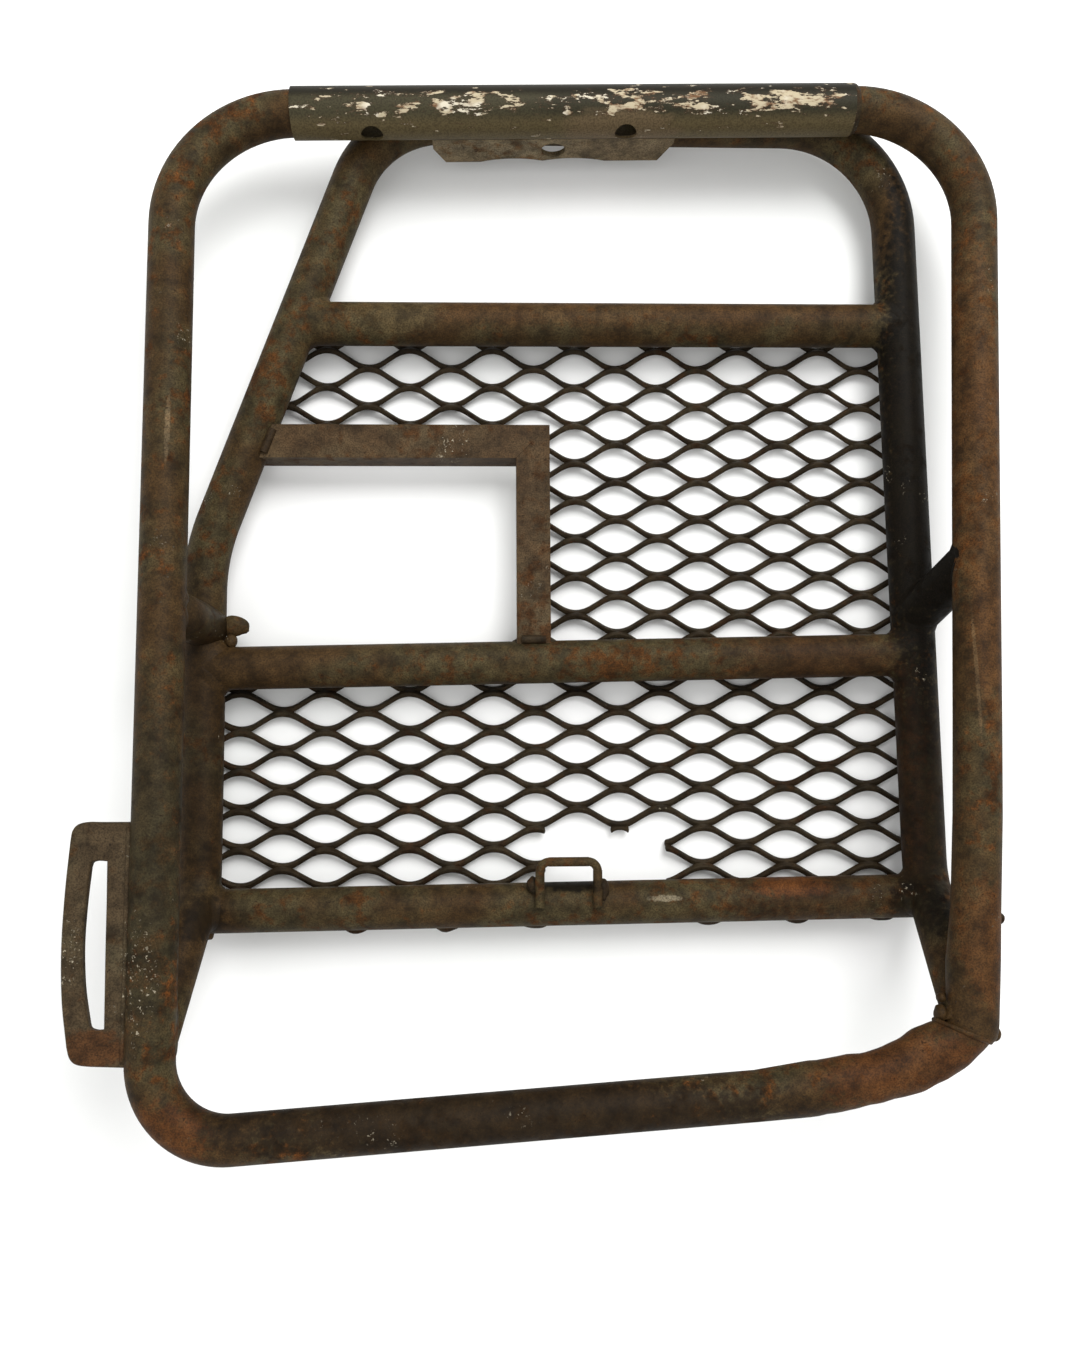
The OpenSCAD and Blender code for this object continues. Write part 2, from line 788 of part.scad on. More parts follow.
// Places of the plate's back face, lower edge, hole and weld root, from the sleeve's axis
mount_back = mount_plate_t + mount_step - sleeve_r;
mount_drop = sleeve_r + mount_reach;
mount_hole_drop = sleeve_r + mount_hole_below;
mount_root = -sqrt(sleeve_r * sleeve_r - mount_back * mount_back);

module mount_place() {
    translate(hoop_at(meet([0, 0], hoop_top_deg, [mount_plate_mid, 0], 90)))
        rotate([0, 0, hoop_top_deg])
            children();
}

module mount_outline() {
    half = mount_plate_l / 2;
    difference() {
        polygon([[-half, 0], [half, 0], [half, mount_cut_right.y - mount_drop],
            [half - mount_cut_right.x, -mount_drop], [mount_cut_left.x - half, -mount_drop],
            [-half, mount_cut_left.y - mount_drop]]);
        translate([0, -mount_hole_drop])
            circle(d = mount_hole_d);
        for (x = [-half / 3, half / 6])
            translate([x, scoop_depth - mount_drop - scoop_r])
                circle(r = scoop_r);
    }
}

module mounting_plate() {
    color(plate_grey)
        guard_place()
            difference() {
                mount_place()
                    translate([0, mount_back, 0])
                        rotate([90, 0, 0])
                            linear_extrude(mount_plate_t)
                                mount_outline();
                sleeve_axis_place()
                    cylinder(r = sleeve_r + root_gap, h = sleeve_len, center = true);
            }
}

module mounting_plate_weld() {
    half = mount_plate_l / 2;
    color(weld_brown)
        guard_place()
            difference() {
                mount_place()
                    translate([bead - half, mount_back, mount_root])
                        rotate([0, 90, 0])
                            cylinder(r = bead, h = mount_plate_l - 2 * bead);
                mount_place()
                    translate([-half - over, mount_back - 3 * bead, -mount_drop])
                        cube([mount_plate_l + 2 * over, 3 * bead, mount_drop]);
                sleeve_axis_place()
                    cylinder(r = sleeve_r, h = sleeve_len, center = true);
            }
}

// Window frame of angle section: a flange towards the viewer and a web down to the sheet

rail_top = mesh_top + angle_w;

// The corner's mitre keeps the top rail on one side and the side rail on the other
module rail_corner(side) {
    translate([window_right, window_top, 0])
        rotate([0, 0, 45])
            translate([-2 * angle_w, side > 0 ? -root_gap / 2 : root_gap / 2 - 4 * angle_w, 0])
                cube([6 * angle_w, 4 * angle_w, 2 * angle_w]);
}

module window_top_rail() {
    run = window_right + angle_w - grille_left_x;
    color(plate_grey)
        guard_place()
            difference() {
                translate([grille_left_x, window_top, mesh_top]) {
                    translate([0, 0, angle_w - angle_t])
                        cube([run, angle_w, angle_t]);
                    cube([run, angle_t, angle_w]);
                }
                rail_corner(-1);
                line_rod(slant_leg, cope_d);
                translate([grille_left_x - over, 0, 0])
                    rotate([0, 0, -slant_deg])
                        translate([-2 * grille_w, -grille_h, 0])
                            cube([2 * grille_w - slant_start * sin(slant_deg), 3 * grille_h, frame_z + tube_od]);
            }
}

module window_side_rail() {
    run = window_top + angle_w - middle_bar_y;
    color(plate_grey)
        guard_place()
            difference() {
                translate([window_right, middle_bar_y, mesh_top]) {
                    translate([0, 0, angle_w - angle_t])
                        cube([angle_w, run, angle_t]);
                    cube([angle_t, run, angle_w]);
                }
                rail_corner(1);
                line_rod(middle_bar, cope_d);
            }
}

module window_frame_welds() {
    slant_y = window_top + angle_t;
    slant_from = at_y(slant_leg, slant_y) + [tube_r, 0, angle_w - tube_r];
    slant_to = at_y(slant_leg, window_top + angle_w - angle_t) + [tube_r, 0, angle_w - tube_r];
    side_from = [window_right + angle_t, middle_bar_y + tube_r, rail_top];
    side_to = [window_right + angle_w - angle_t, middle_bar_y + tube_r, rail_top];
    color(weld_brown)
        guard_place()
            difference() {
                union() {
                    rod(slant_from, slant_to, 2 * seam_r);
                    rod(side_from, side_to, 2 * seam_r);
                }
                translate([grille_left_x, middle_bar_y - tube_od, mesh_top])
                    cube([grille_w, grille_h, angle_w]);
                line_rod(slant_leg, cope_d);
                line_rod(middle_bar, cope_d);
            }
}

// Expanded metal: bonds on a diamond lattice, joined by tilted strands

// Directions across a strand's width and through its thickness
strand_u = [0, -cos(strand_deg), sin(strand_deg)];
strand_n = [0, sin(strand_deg), cos(strand_deg)];
first_i = -12;
last_i = 12;
first_j = -12;
last_j = 26;
bonds_in_row = (last_i - first_i) / 2 + 1;

function bond_at(i, j) = [mesh_x + i * mesh_lwd / 2, mesh_y - j * mesh_swd / 2, mesh_h / 2];
function torn(p) = p.x > tear_left && p.x < tear_right && p.y < tear_h;
function left_edge(y) = grille_left_x + max(0, y - slant_start) * tan(slant_deg) - tube_r;
function right_edge(y) = grille_right_x - y * tan(grille_right_lean) + tube_r;
function in_window(p) =
    p.x < window_right && p.y > middle_bar_y + tube_r && p.y < window_top + angle_w / 2;
function in_frame(p) =
    p.y < upper_bar_y + tube_r && p.y > -tube_r && p.x > left_edge(p.y) && p.x < right_edge(p.y);
function is_bond(i, j) =
    let (p = bond_at(i, j))
    abs(i + j) % 2 == 1 && in_frame(p) && !in_window(p) && !torn(p);
function is_strand(i, j, k, l) =
    is_bond(i, j) && is_bond(k, l) && !torn((bond_at(i, j) + bond_at(k, l)) / 2);

// The sheet is told in three panels: over the window, beside it, and under the middle crossbar
function panel_of(i, j) =
    let (p = bond_at(i, j))
    p.y > window_top + angle_w / 2 ? 0 : p.x > window_right && p.y > middle_bar_y ? 1 : 2;
function owns(panel, i, j) = is_bond(i, j) && panel_of(i, j) == panel;

// Corner e (left, right), l (low, middle, high) and s (back, front) of a bond
function corner_at(i, j, e, l, s) =
    bond_at(i, j) + [(e - 0.5) * bond_l, 0, 0] + (l - 1) * strand_w * strand_u
    + (s - 0.5) * strand_t * strand_n;
function corner_no(i, j, e, l, s) =
    (((j - first_j) * bonds_in_row + floor((i - first_i) / 2)) * 2 + e) * 6 + l * 2 + s;
function row_shift(j) = abs(first_i + j) % 2 == 1 ? 0 : 1;

// The outline of one half of a bond's end, and the walls between two such outlines
function half_end(i, j, e, h) =
    [corner_no(i, j, e, h, 0), corner_no(i, j, e, h, 1),
     corner_no(i, j, e, h + 1, 1), corner_no(i, j, e, h + 1, 0)];
function backwards(f) = [f[3], f[2], f[1], f[0]];
function walls(a, b, sides) = [for (k = sides) [b[k], b[(k + 1) % 4], a[(k + 1) % 4], a[k]]];
function capped(e, f) = e == 0 ? f : backwards(f);

function bond_faces(i, j) = concat(
    walls(half_end(i, j, 0, 0), half_end(i, j, 1, 0), [0, 1, 3]),
    walls(half_end(i, j, 0, 1), half_end(i, j, 1, 1), [1, 2, 3]));

// A strand belongs to the panel of its lower bond, and runs up to the bond a step to the side
function strand_faces(panel, i, j, side) =
    let (k = i + side, e = side > 0 ? 1 : 0,
         low = half_end(i, j, e, 0), high = half_end(k, j - 1, 1 - e, 1),
         sides = side > 0 ? walls(low, high, [0 : 3]) : walls(high, low, [0 : 3]))
    owns(panel, k, j - 1) ? sides : concat(sides, [capped(e == 1 ? 1 : 0, high)]);

function panel_faces(panel) = [
    for (j = [first_j : last_j])
        for (i = [first_i : last_i])
            if (owns(panel, i, j))
                each concat(
                    bond_faces(i, j),
                    [for (side = [-1, 1])
                        each is_strand(i, j, i + side, j - 1)
                            ? strand_faces(panel, i, j, side)
                            : [capped(side > 0 ? 1 : 0, half_end(i, j, side > 0 ? 1 : 0, 0))]],
                    [for (side = [-1, 1])
                        if (!is_strand(i, j, i + side, j + 1) || !owns(panel, i + side, j + 1))
                            capped(side > 0 ? 1 : 0, half_end(i, j, side > 0 ? 1 : 0, 1))])];

module panel(number) {
    points = [
        for (j = [first_j : last_j])
            for (c = [0 : bonds_in_row - 1])
                for (e = [0, 1])
                    for (l = [0, 1, 2])
                        for (s = [0, 1])
                            corner_at(first_i + 2 * c + row_shift(j), j, e, l, s)];
    guard_place()
        polyhedron(points, panel_faces(number), convexity = 10);
}

module mesh_top_strip() {
    color(dark_mesh)
        panel(0);
}

module mesh_side_panel() {
    color(dark_mesh)
        panel(1);
}

module mesh_lower_panel() {
    color(dark_mesh)
        panel(2);
}

// The furthest that a tack may sit towards the right leg and its weld
tack_limit = grille_right_x - tube_r - 2 * bead - tack_r - root_gap;

// Tacks that hold the sheet's last row of bonds to the lower crossbar
module mesh_tack_welds() {
    color(weld_brown)
        guard_place()
            difference() {
                for (i = [-5, -3, -1, 3, 5, 7])
                    translate([min(bond_at(i, 0).x, tack_limit), tack_in - tube_r, mesh_top])
                        sphere(r = tack_r);
                line_rod(lower_bar, tube_od);
                translate([-grille_w, -tube_od, -tube_od])
                    cube([2 * grille_w, 2 * tube_od, tube_od + mesh_top]);
            }
}

// Slotted plate outside the hoop's left leg, in the hoop's plane: its own axes run outwards and up the leg

module slot_plate_place() {
    translate(slot_plate_p)
        rotate([-hoop_tilt, 0, 0])
            rotate([0, 0, 180 + hoop_left_lean])
                children();
}

// Radius of an arc with a given chord and bow
function arc_r(chord, bow) = (chord * chord / 4 + bow * bow) / (2 * bow);

module slot_plate_outline() {
    outer = tube_r + slot_plate_w;
    corner_x = outer - slot_plate_bow - slot_plate_r;
    half = slot_plate_l / 2;
    edge_r = arc_r(slot_plate_l, slot_plate_bow);
    slot_from = tube_r + slot_in;
    slot_to = slot_from + slot_w + slot_bow;
    slot_edge_r = arc_r(slot_l, slot_bow);
    difference() {
        intersection() {
            union() {
                translate([0, -half])
                    square([corner_x, 2 * half]);
                translate([0, slot_plate_r - half])
                    square([outer, 2 * half - 2 * slot_plate_r]);
                for (y = [slot_plate_r - half, half - slot_plate_r])
                    translate([corner_x, y])
                        circle(r = slot_plate_r);
            }
            translate([outer - edge_r, 0])
                circle(r = edge_r, $fn = 4 * $fn);
        }
        intersection() {
            translate([slot_from, -slot_l / 2])
                square([slot_w + slot_bow, slot_l]);
            translate([slot_to - slot_edge_r, 0])
                circle(r = slot_edge_r, $fn = 4 * $fn);
        }
    }
}

module slotted_plate() {
    color(plate_grey)
        guard_place()
            difference() {
                slot_plate_place()
                    translate([0, 0, -slot_plate_t / 2])
                        linear_extrude(slot_plate_t)
                            slot_plate_outline();
                line_rod(hoop_left_leg, cope_d);
                line_rod(left_foot, cope_d);
            }
}

module slotted_plate_weld() {
    bead_l = slot_plate_l - 4 * bead;
    color(weld_brown)
        guard_place()
            difference() {
                slot_plate_place()
                    for (z = [-slot_plate_t / 2, slot_plate_t / 2])
                        translate([tube_r, bead_l / 2, z])
                            rotate([90, 0, 0])
                                cylinder(r = bead, h = bead_l);
                slot_plate_place()
                    translate([0, -slot_plate_l, -slot_plate_t / 2])
                        cube([slot_plate_w, 2 * slot_plate_l, slot_plate_t]);
                line_rod(hoop_left_leg, tube_od);
                line_rod(left_foot, cope_d);
            }
}

// Lock staple on the lower crossbar

staple_z = frame_z + tube_r + root_gap + staple_d / 2;

module lock_staple() {
    half = staple_w / 2;
    color(plate_grey)
        guard_place()
            translate([0, 0, staple_z])
                bent_rod([[-half, 0], [-half, staple_h], [half, staple_h], [half, 0]],
                    [0, staple_r, staple_r, 0], staple_d);
}

module staple_welds() {
    pad_x = staple_w / 2 + staple_d / 2;
    color(weld_brown)
        guard_place()
            difference() {
                for (side = [-1, 1])
                    rod([side * pad_x, 0, staple_z - staple_d / 2],
                        [side * pad_x, 1.5 * staple_pad_d, staple_z - staple_d], staple_pad_d);
                for (side = [-1, 1])
                    rod([side * staple_w / 2, -over, staple_z], [side * staple_w / 2, staple_h, staple_z], staple_d);
                line_rod(lower_bar, tube_od);
            }
}

hoop_left_tube();
hoop_right_tube();
top_sleeve();
mounting_plate();
grille_hoop();
upper_crossbar();
middle_crossbar();
lower_crossbar();
window_top_rail();
window_side_rail();
mesh_top_strip();
mesh_side_panel();
mesh_lower_panel();
left_strut();
right_strut();
slotted_plate();
lock_staple();
sleeve_end_weld();
mounting_plate_weld();
upper_bar_welds();
middle_bar_welds();
lower_bar_welds();
strut_welds();
leg_foot_welds();
hoop_corner_weld();
window_frame_welds();
staple_welds();
slotted_plate_weld();
mesh_tack_welds();
leg_weld_nub();
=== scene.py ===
# %% [markdown]
# # A welded tube guard, dressed from its solids
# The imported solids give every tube, plate and bar its place. This lesson adds what a
# solid model leaves out: rust, chipped paint, rippled welds and the soft edges of
# expanded metal. Meshes and finishes are in metres, in the frame of the solids. Where a
# shape is worked out in millimetres, MM turns it into metres at the end.

import bpy
import numpy as np
from mathutils import Matrix, Vector


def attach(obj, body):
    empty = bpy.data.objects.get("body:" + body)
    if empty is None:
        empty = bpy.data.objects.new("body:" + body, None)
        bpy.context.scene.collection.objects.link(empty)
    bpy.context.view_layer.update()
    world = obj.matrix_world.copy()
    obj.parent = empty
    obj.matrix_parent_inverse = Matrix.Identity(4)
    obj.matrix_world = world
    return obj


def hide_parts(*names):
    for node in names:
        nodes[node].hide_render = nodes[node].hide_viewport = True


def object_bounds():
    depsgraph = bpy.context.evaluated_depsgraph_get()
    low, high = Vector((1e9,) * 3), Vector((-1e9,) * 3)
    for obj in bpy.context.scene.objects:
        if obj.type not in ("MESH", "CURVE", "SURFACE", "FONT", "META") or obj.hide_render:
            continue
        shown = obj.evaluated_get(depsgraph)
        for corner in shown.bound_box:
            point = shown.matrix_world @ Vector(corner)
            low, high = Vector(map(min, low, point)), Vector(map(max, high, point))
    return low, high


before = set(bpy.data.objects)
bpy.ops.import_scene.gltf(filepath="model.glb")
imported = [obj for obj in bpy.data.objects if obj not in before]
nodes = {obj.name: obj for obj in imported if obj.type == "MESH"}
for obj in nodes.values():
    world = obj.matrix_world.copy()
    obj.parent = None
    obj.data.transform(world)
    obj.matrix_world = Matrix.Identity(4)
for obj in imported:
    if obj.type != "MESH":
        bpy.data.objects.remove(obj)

cad_low, cad_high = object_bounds()
MM = 0.001
cad_box = [round((high - low) / MM, 1) for low, high in zip(cad_low, cad_high)]
print("solids:", len(nodes), "box mm:", cad_box)

# %% [markdown]
# ## The camera
# The guard lies on a table and the camera looks almost straight down on it. A camera can
# be aimed by angles, but three measured axes say the same with no guessing about order.
# Its image is 1369 pixels high, and the sensor width counts along that long side.

# %% Camera
CAMERA_AT = (-0.02978, -0.09083, 0.67454)
CAMERA_RIGHT = np.array((0.99947, -0.00616, 0.03191))
CAMERA_DOWN = np.array((-0.00439, -0.99846, -0.05526))
CAMERA_AHEAD = np.array((0.03220, 0.05510, -0.99796))
FOCAL_PX, LONG_SIDE_PX, SENSOR_MM = 1100.0, 1369.0, 36.0

camera_data = bpy.data.cameras.new("photo_camera")
camera_data.sensor_width = SENSOR_MM
camera_data.lens = SENSOR_MM * FOCAL_PX / LONG_SIDE_PX
camera_data.clip_start = 0.01
camera = bpy.data.objects.new("photo_camera", camera_data)
camera_axes = Matrix(np.array((CAMERA_RIGHT, -CAMERA_DOWN, -CAMERA_AHEAD)).T.tolist())
camera.matrix_world = Matrix.Translation(CAMERA_AT) @ camera_axes.to_4x4()
bpy.context.scene.collection.objects.link(camera)
bpy.context.scene.camera = camera
print("lens mm:", round(camera_data.lens, 2))

# %% [markdown]
# ## Shader helpers
# A finish is a small graph of noise, ramps and mixes. Written out node by node it would
# hide the idea, so one helper adds a node and feeds its inputs, and three more name the
# steps that every finish uses: noise, a soft threshold and a mix of two colours.

# %% Node helpers


def feed(tree, socket, value):
    """Links a socket to another one, or sets its plain value."""
    if isinstance(value, bpy.types.NodeSocket):
        tree.links.new(value, socket)
    else:
        socket.default_value = value


def add_node(tree, kind, options=None, **inputs):
    """Adds one node with its options, feeds the named inputs and returns the node."""
    made = tree.nodes.new(kind)
    for key, value in (options or {}).items():
        setattr(made, key, value)
    for key, value in inputs.items():
        feed(tree, made.inputs[key.replace("_", " ")], value)
    return made


def srgb(red, green, blue):
    """A colour as seen on a screen, 0 to 255, turned into the linear light that shaders use."""
    share = np.array((red, green, blue)) / 255.0
    linear = np.where(share < 0.04045, share / 12.92, ((share + 0.055) / 1.055) ** 2.4)
    return (*linear.tolist(), 1.0)


def noise(tree, coords, scale, detail=4.0, roughness=0.55):
    """Fractal noise with so many lumps to the metre."""
    return add_node(tree, "ShaderNodeTexNoise", Vector=coords, Scale=scale, Detail=detail,
                    Roughness=roughness).outputs["Fac"]


def soft_step(tree, value, low, high):
    """0 under low, 1 over high, and a smooth rise between them."""
    return add_node(tree, "ShaderNodeMapRange", {"interpolation_type": "SMOOTHSTEP"}, Value=value,
                    From_Min=low, From_Max=high).outputs["Result"]


def maths(tree, operation, first, second):
    """One sum, product or other step on two values."""
    made = tree.nodes.new("ShaderNodeMath")
    made.operation = operation
    feed(tree, made.inputs[0], first)
    feed(tree, made.inputs[1], second)
    return made.outputs[0]


def mixed(tree, share, first, second, mode="MIX"):
    """The second colour over the first, by share."""
    made = tree.nodes.new("ShaderNodeMix")
    made.data_type = "RGBA"
    made.blend_type = mode
    feed(tree, made.inputs[0], share)
    feed(tree, made.inputs[6], first)
    feed(tree, made.inputs[7], second)
    return made.outputs[2]


def new_finish(name):
    """An empty material: its node tree, its main shader and the object's own coordinates."""
    finish = bpy.data.materials.new(name)
    finish.use_nodes = True
    tree = finish.node_tree
    shader = tree.nodes["Principled BSDF"]
    coords = tree.nodes.new("ShaderNodeTexCoord").outputs["Object"]
    return finish, tree, shader, coords


print("a screen grey of 128 is this share of full light:", round(srgb(128, 128, 128)[0], 3))

# %% [markdown]
# ## Weathered steel
# The tubes were painted a drab olive long ago, and the coat has dulled, browned and
# rusted from below. Nothing on them is one colour, yet nothing stands out much either:
# broad noise drifts between olive and grey, finer noise lays brown blooms over it,
# blotches as wide as a fingertip darken and lighten it, and a fine grain dulls it all.
# Single stains, such as a rusty bend or a pale scuff, are ellipses with an edge that
# noise makes ragged.

# %% Weathered steel
PALE_SPECK = srgb(168, 158, 136)
PIT_BROWN = srgb(26, 19, 12)


def stain_mask(tree, parts, ragged, centre, half):
    """1 inside an ellipse in X and Y, 0 outside, with a ragged edge: the step falls where
    ((x - cx) / hx)^2 + ((y - cy) / hy)^2 + 2.4 noise goes from 1.6 to 2.5."""
    squares = []
    for axis, middle, reach in zip("XY", centre, half):
        share = maths(tree, "DIVIDE", maths(tree, "SUBTRACT", parts[axis], middle), reach)
        squares.append(maths(tree, "MULTIPLY", share, share))
    far = maths(tree, "ADD", maths(tree, "ADD", *squares), maths(tree, "MULTIPLY", ragged, 2.4))
    return soft_step(tree, far, 2.5, 1.6)


def weathered_steel(name, paint, faded, rust, bright_rust, rust_share, speck_share, shift,
                    stains=(), speckled=()):
    """Paint, blooms of rust, grain, pits and specks from layers of noise. A share of 0 to 1 says
    how much rust or how many specks show. Each stain is (centre, half size, colour, strength), and
    each speckled place (centre, half size)."""
    finish, tree, shader, coords = new_finish(name)
    parts = add_node(tree, "ShaderNodeSeparateXYZ", Vector=coords).outputs
    place = add_node(tree, "ShaderNodeMapping", Vector=coords, Location=shift).outputs[0]
    broad = noise(tree, place, 16.0, 3.0)
    blotch = noise(tree, place, 88.0, 7.0, 0.72)
    mottle = noise(tree, place, 120.0, 5.0, 0.62)
    spots = noise(tree, place, 260.0, 4.0, 0.6)
    grain = noise(tree, place, 1100.0, 3.0, 0.6)
    pits = soft_step(tree, noise(tree, place, 480.0, 2.0), 0.66, 0.72)
    near = soft_step(tree, noise(tree, place, 26.0, 2.0), 0.67 - 0.12 * speck_share, 0.73)
    for centre, half in speckled:
        near = maths(tree, "MAXIMUM", near, stain_mask(tree, parts, mottle, centre, half))
    points = soft_step(tree, noise(tree, place, 480.0, 3.0, 0.7), 0.61, 0.67)
    specks = maths(tree, "MULTIPLY", near, points)
    coat = mixed(tree, soft_step(tree, broad, 0.40, 0.60), paint, faded)
    reach = maths(tree, "ADD", maths(tree, "MULTIPLY", mottle, 0.55), maths(tree, "MULTIPLY", broad, 0.45))
    rusty = soft_step(tree, reach, 0.58 - 0.16 * rust_share, 0.70 - 0.14 * rust_share)
    colour = mixed(tree, maths(tree, "MULTIPLY", rusty, 0.85), coat, rust)
    bloom = maths(tree, "MULTIPLY", rusty, soft_step(tree, spots, 0.50, 0.66))
    colour = mixed(tree, maths(tree, "MULTIPLY", bloom, 0.5), colour, bright_rust)
    for centre, half, stain, strength in stains:
        mask = stain_mask(tree, parts, spots, centre, half)
        colour = mixed(tree, maths(tree, "MULTIPLY", mask, strength), colour, stain)
    shade = add_node(tree, "ShaderNodeMapRange", Value=blotch, From_Min=0.36, From_Max=0.64,
                     To_Min=0.5, To_Max=1.55).outputs["Result"]
    colour = mixed(tree, 1.0, colour, shade, "MULTIPLY")
    dull = soft_step(tree, grain, 0.58, 0.38)
    colour = mixed(tree, maths(tree, "MULTIPLY", dull, 0.5), colour, PIT_BROWN)
    colour = mixed(tree, maths(tree, "MULTIPLY", pits, 0.65), colour, PIT_BROWN)
    colour = mixed(tree, maths(tree, "MULTIPLY", specks, 0.7), colour, PALE_SPECK)
    feed(tree, shader.inputs["Base Color"], colour)
    rough = add_node(tree, "ShaderNodeMapRange", Value=rusty, To_Min=0.58, To_Max=0.85).outputs["Result"]
    feed(tree, shader.inputs["Roughness"], rough)
    shader.inputs["Specular IOR Level"].default_value = 0.08
    height = maths(tree, "ADD", maths(tree, "MULTIPLY", grain, 0.3), maths(tree, "MULTIPLY", spots, 0.7))
    height = maths(tree, "SUBTRACT", height, maths(tree, "MULTIPLY", pits, 0.5))
    bump = add_node(tree, "ShaderNodeBump", Strength=0.4, Distance=0.0006, Height=height)
    feed(tree, shader.inputs["Normal"], bump.outputs["Normal"])
    return finish


print("specks and pits, red as linear light:", round(PALE_SPECK[0], 3), round(PIT_BROWN[0], 3))

# %% [markdown]
# One recipe serves every steel piece, with other colours and shares: the mesh is the
# darkest and the thin plate under the sleeve the palest. Each finish is shifted to its
# own part of the noise, so no two of them carry the same blotches. The stains are listed
# in metres.

# %% Finishes of the tubes, plates and mesh
OLIVE, GREY_OLIVE, DARK_OLIVE = srgb(58, 42, 22), srgb(62, 54, 34), srgb(34, 24, 12)
# The last colour on the next line is near black, for painted shade on the inner frame.
RUST, BRIGHT_RUST, PAINTED_SHADE = srgb(68, 40, 16), srgb(112, 64, 25), srgb(9, 7, 3)
HOOP_STAINS = [
    ((-0.2130, -0.150), (0.020, 0.090), srgb(44, 39, 25), 0.75),     # left leg, lower half
    ((-0.030, -0.280), (0.170, 0.022), DARK_OLIVE, 0.95),            # bottom bar
    ((-0.205, -0.288), (0.026, 0.020), srgb(84, 48, 20), 0.6),       # lower left bend
    ((0.180, -0.262), (0.050, 0.024), srgb(78, 45, 20), 0.7),        # beaten end of the bottom bar
    ((0.236, 0.060), (0.018, 0.160), srgb(76, 49, 24), 0.65),        # right leg
    ((0.2220, -0.195), (0.016, 0.034), srgb(78, 46, 20), 0.5),       # right leg, lower end
    ((0.2250, -0.055), (0.0010, 0.040), srgb(104, 84, 58), 0.4),     # scratch on the right leg
    ((-0.2128, 0.084), (0.0014, 0.020), srgb(120, 102, 76), 0.4),    # scratch on the left leg
]
# The near-black stains in this list are painted shade, where the inner frame lies in shadow.
FRAME_STAINS = [
    ((0.0280, 0.170), (0.170, 0.012), srgb(72, 49, 26), 0.5),        # upper crossbar
    ((-0.0950, 0.166), (0.030, 0.014), srgb(72, 61, 39), 0.8),       # pale patch at its left
    ((0.0627, -0.1800), (0.0095, 0.0019), srgb(132, 122, 100), 0.7),  # scuff on the lower crossbar
    ((0.0085, -0.1715), (0.017, 0.0050), PAINTED_SHADE, 0.9),                # painted shade under the staple
    ((-0.2000, -0.1870), (0.010, 0.012), PAINTED_SHADE, 0.7),                # painted shade at the lower left joint
    ((0.2150, 0.080), (0.020, 0.200), PAINTED_SHADE, 0.97),                  # painted shade on the right leg
    ((0.2260, 0.000), (0.016, 0.034), PAINTED_SHADE, 0.9),                   # painted shade on the right strut
    ((0.2150, -0.120), (0.024, 0.080), PAINTED_SHADE, 0.7),                  # painted shade on the right leg, lower half
    ((0.1500, -0.110), (0.070, 0.110), srgb(52, 32, 15), 0.6),       # right ends of two crossbars
    ((-0.2060, -0.090), (0.013, 0.100), DARK_OLIVE, 0.6),            # left leg
    ((0.1370, -0.1740), (0.024, 0.0065), srgb(88, 50, 21), 0.7),     # rust on the lower crossbar
    ((0.2090, -0.1850), (0.015, 0.014), PAINTED_SHADE, 0.6),                 # painted shade at the lower right joint
]
PLATE_STAINS = [((-0.2400, -0.2440), (0.018, 0.010), srgb(72, 42, 18), 0.7)]
HOOP_SPECKLED = [((-0.2150, -0.212), (0.010, 0.034))]
PLATE_SPECKLED = [((-0.2550, -0.196), (0.007, 0.020)), ((-0.2240, -0.205), (0.004, 0.040))]

hoop_finish = weathered_steel(
    "weathered_hoop", OLIVE, GREY_OLIVE, RUST, BRIGHT_RUST,
    rust_share=0.55, speck_share=0.7, shift=(0, 0, 0), stains=HOOP_STAINS, speckled=HOOP_SPECKLED)
frame_finish = weathered_steel(
    "weathered_frame", OLIVE, GREY_OLIVE, RUST, srgb(88, 54, 25),
    rust_share=0.42, speck_share=0.0, shift=(3, 1, 2), stains=FRAME_STAINS)
plate_finish = weathered_steel(
    "weathered_plate", srgb(64, 52, 36), srgb(68, 60, 43), srgb(60, 41, 22), srgb(84, 53, 28),
    rust_share=0.5, speck_share=0.9, shift=(5, 2, 1), stains=PLATE_STAINS, speckled=PLATE_SPECKLED)
mount_finish = weathered_steel(
    "weathered_mount", srgb(96, 82, 60), srgb(104, 92, 70), srgb(84, 60, 36), srgb(110, 76, 44),
    rust_share=0.4, speck_share=0.7, shift=(4, 1, 6))
rail_finish = weathered_steel(
    "weathered_rail", srgb(66, 50, 32), srgb(70, 58, 40), srgb(60, 38, 20), srgb(80, 50, 25),
    rust_share=0.55, speck_share=0.6, shift=(1, 7, 2))
mesh_finish = weathered_steel(
    "weathered_mesh", srgb(44, 35, 23), srgb(46, 39, 27), srgb(44, 28, 15), srgb(62, 40, 21),
    rust_share=0.5, speck_share=0.1, shift=(7, 4, 3))
weld_finish = weathered_steel(
    "painted_weld", srgb(46, 35, 22), srgb(44, 37, 25), srgb(50, 31, 16), srgb(70, 43, 20),
    rust_share=0.55, speck_share=0.2, shift=(2, 6, 5))
print("materials so far:", [m.name for m in bpy.data.materials if m.use_nodes])

# %% [markdown]
# ## Chipped paint on the sleeve
# The sleeve keeps a darker green-grey paint. Along the side that faces up, something has
# rubbed it through to a cream undercoat in ragged patches. The patches lie in a band round
# the sleeve, so the mask starts from the angle about its axis, and in groups along it.

# %% Sleeve finish
SLEEVE_AT, SLEEVE_RISE, BAND_MIDDLE = (0.01245, 0.28119, 0.04785), 0.02051, np.radians(8.0)
CHIP_GROUPS = [(-0.0556, 0.026, 1.0), (0.0428, 0.021, 1.0), (0.1441, 0.026, 1.0), (-0.1155, 0.012, 0.5),
               (-0.0933, 0.008, 0.5), (0.0805, 0.011, 1.0), (0.1155, 0.009, 1.0), (-0.1349, 0.006, 0.5),
               (0.0094, 0.005, 1.0)]


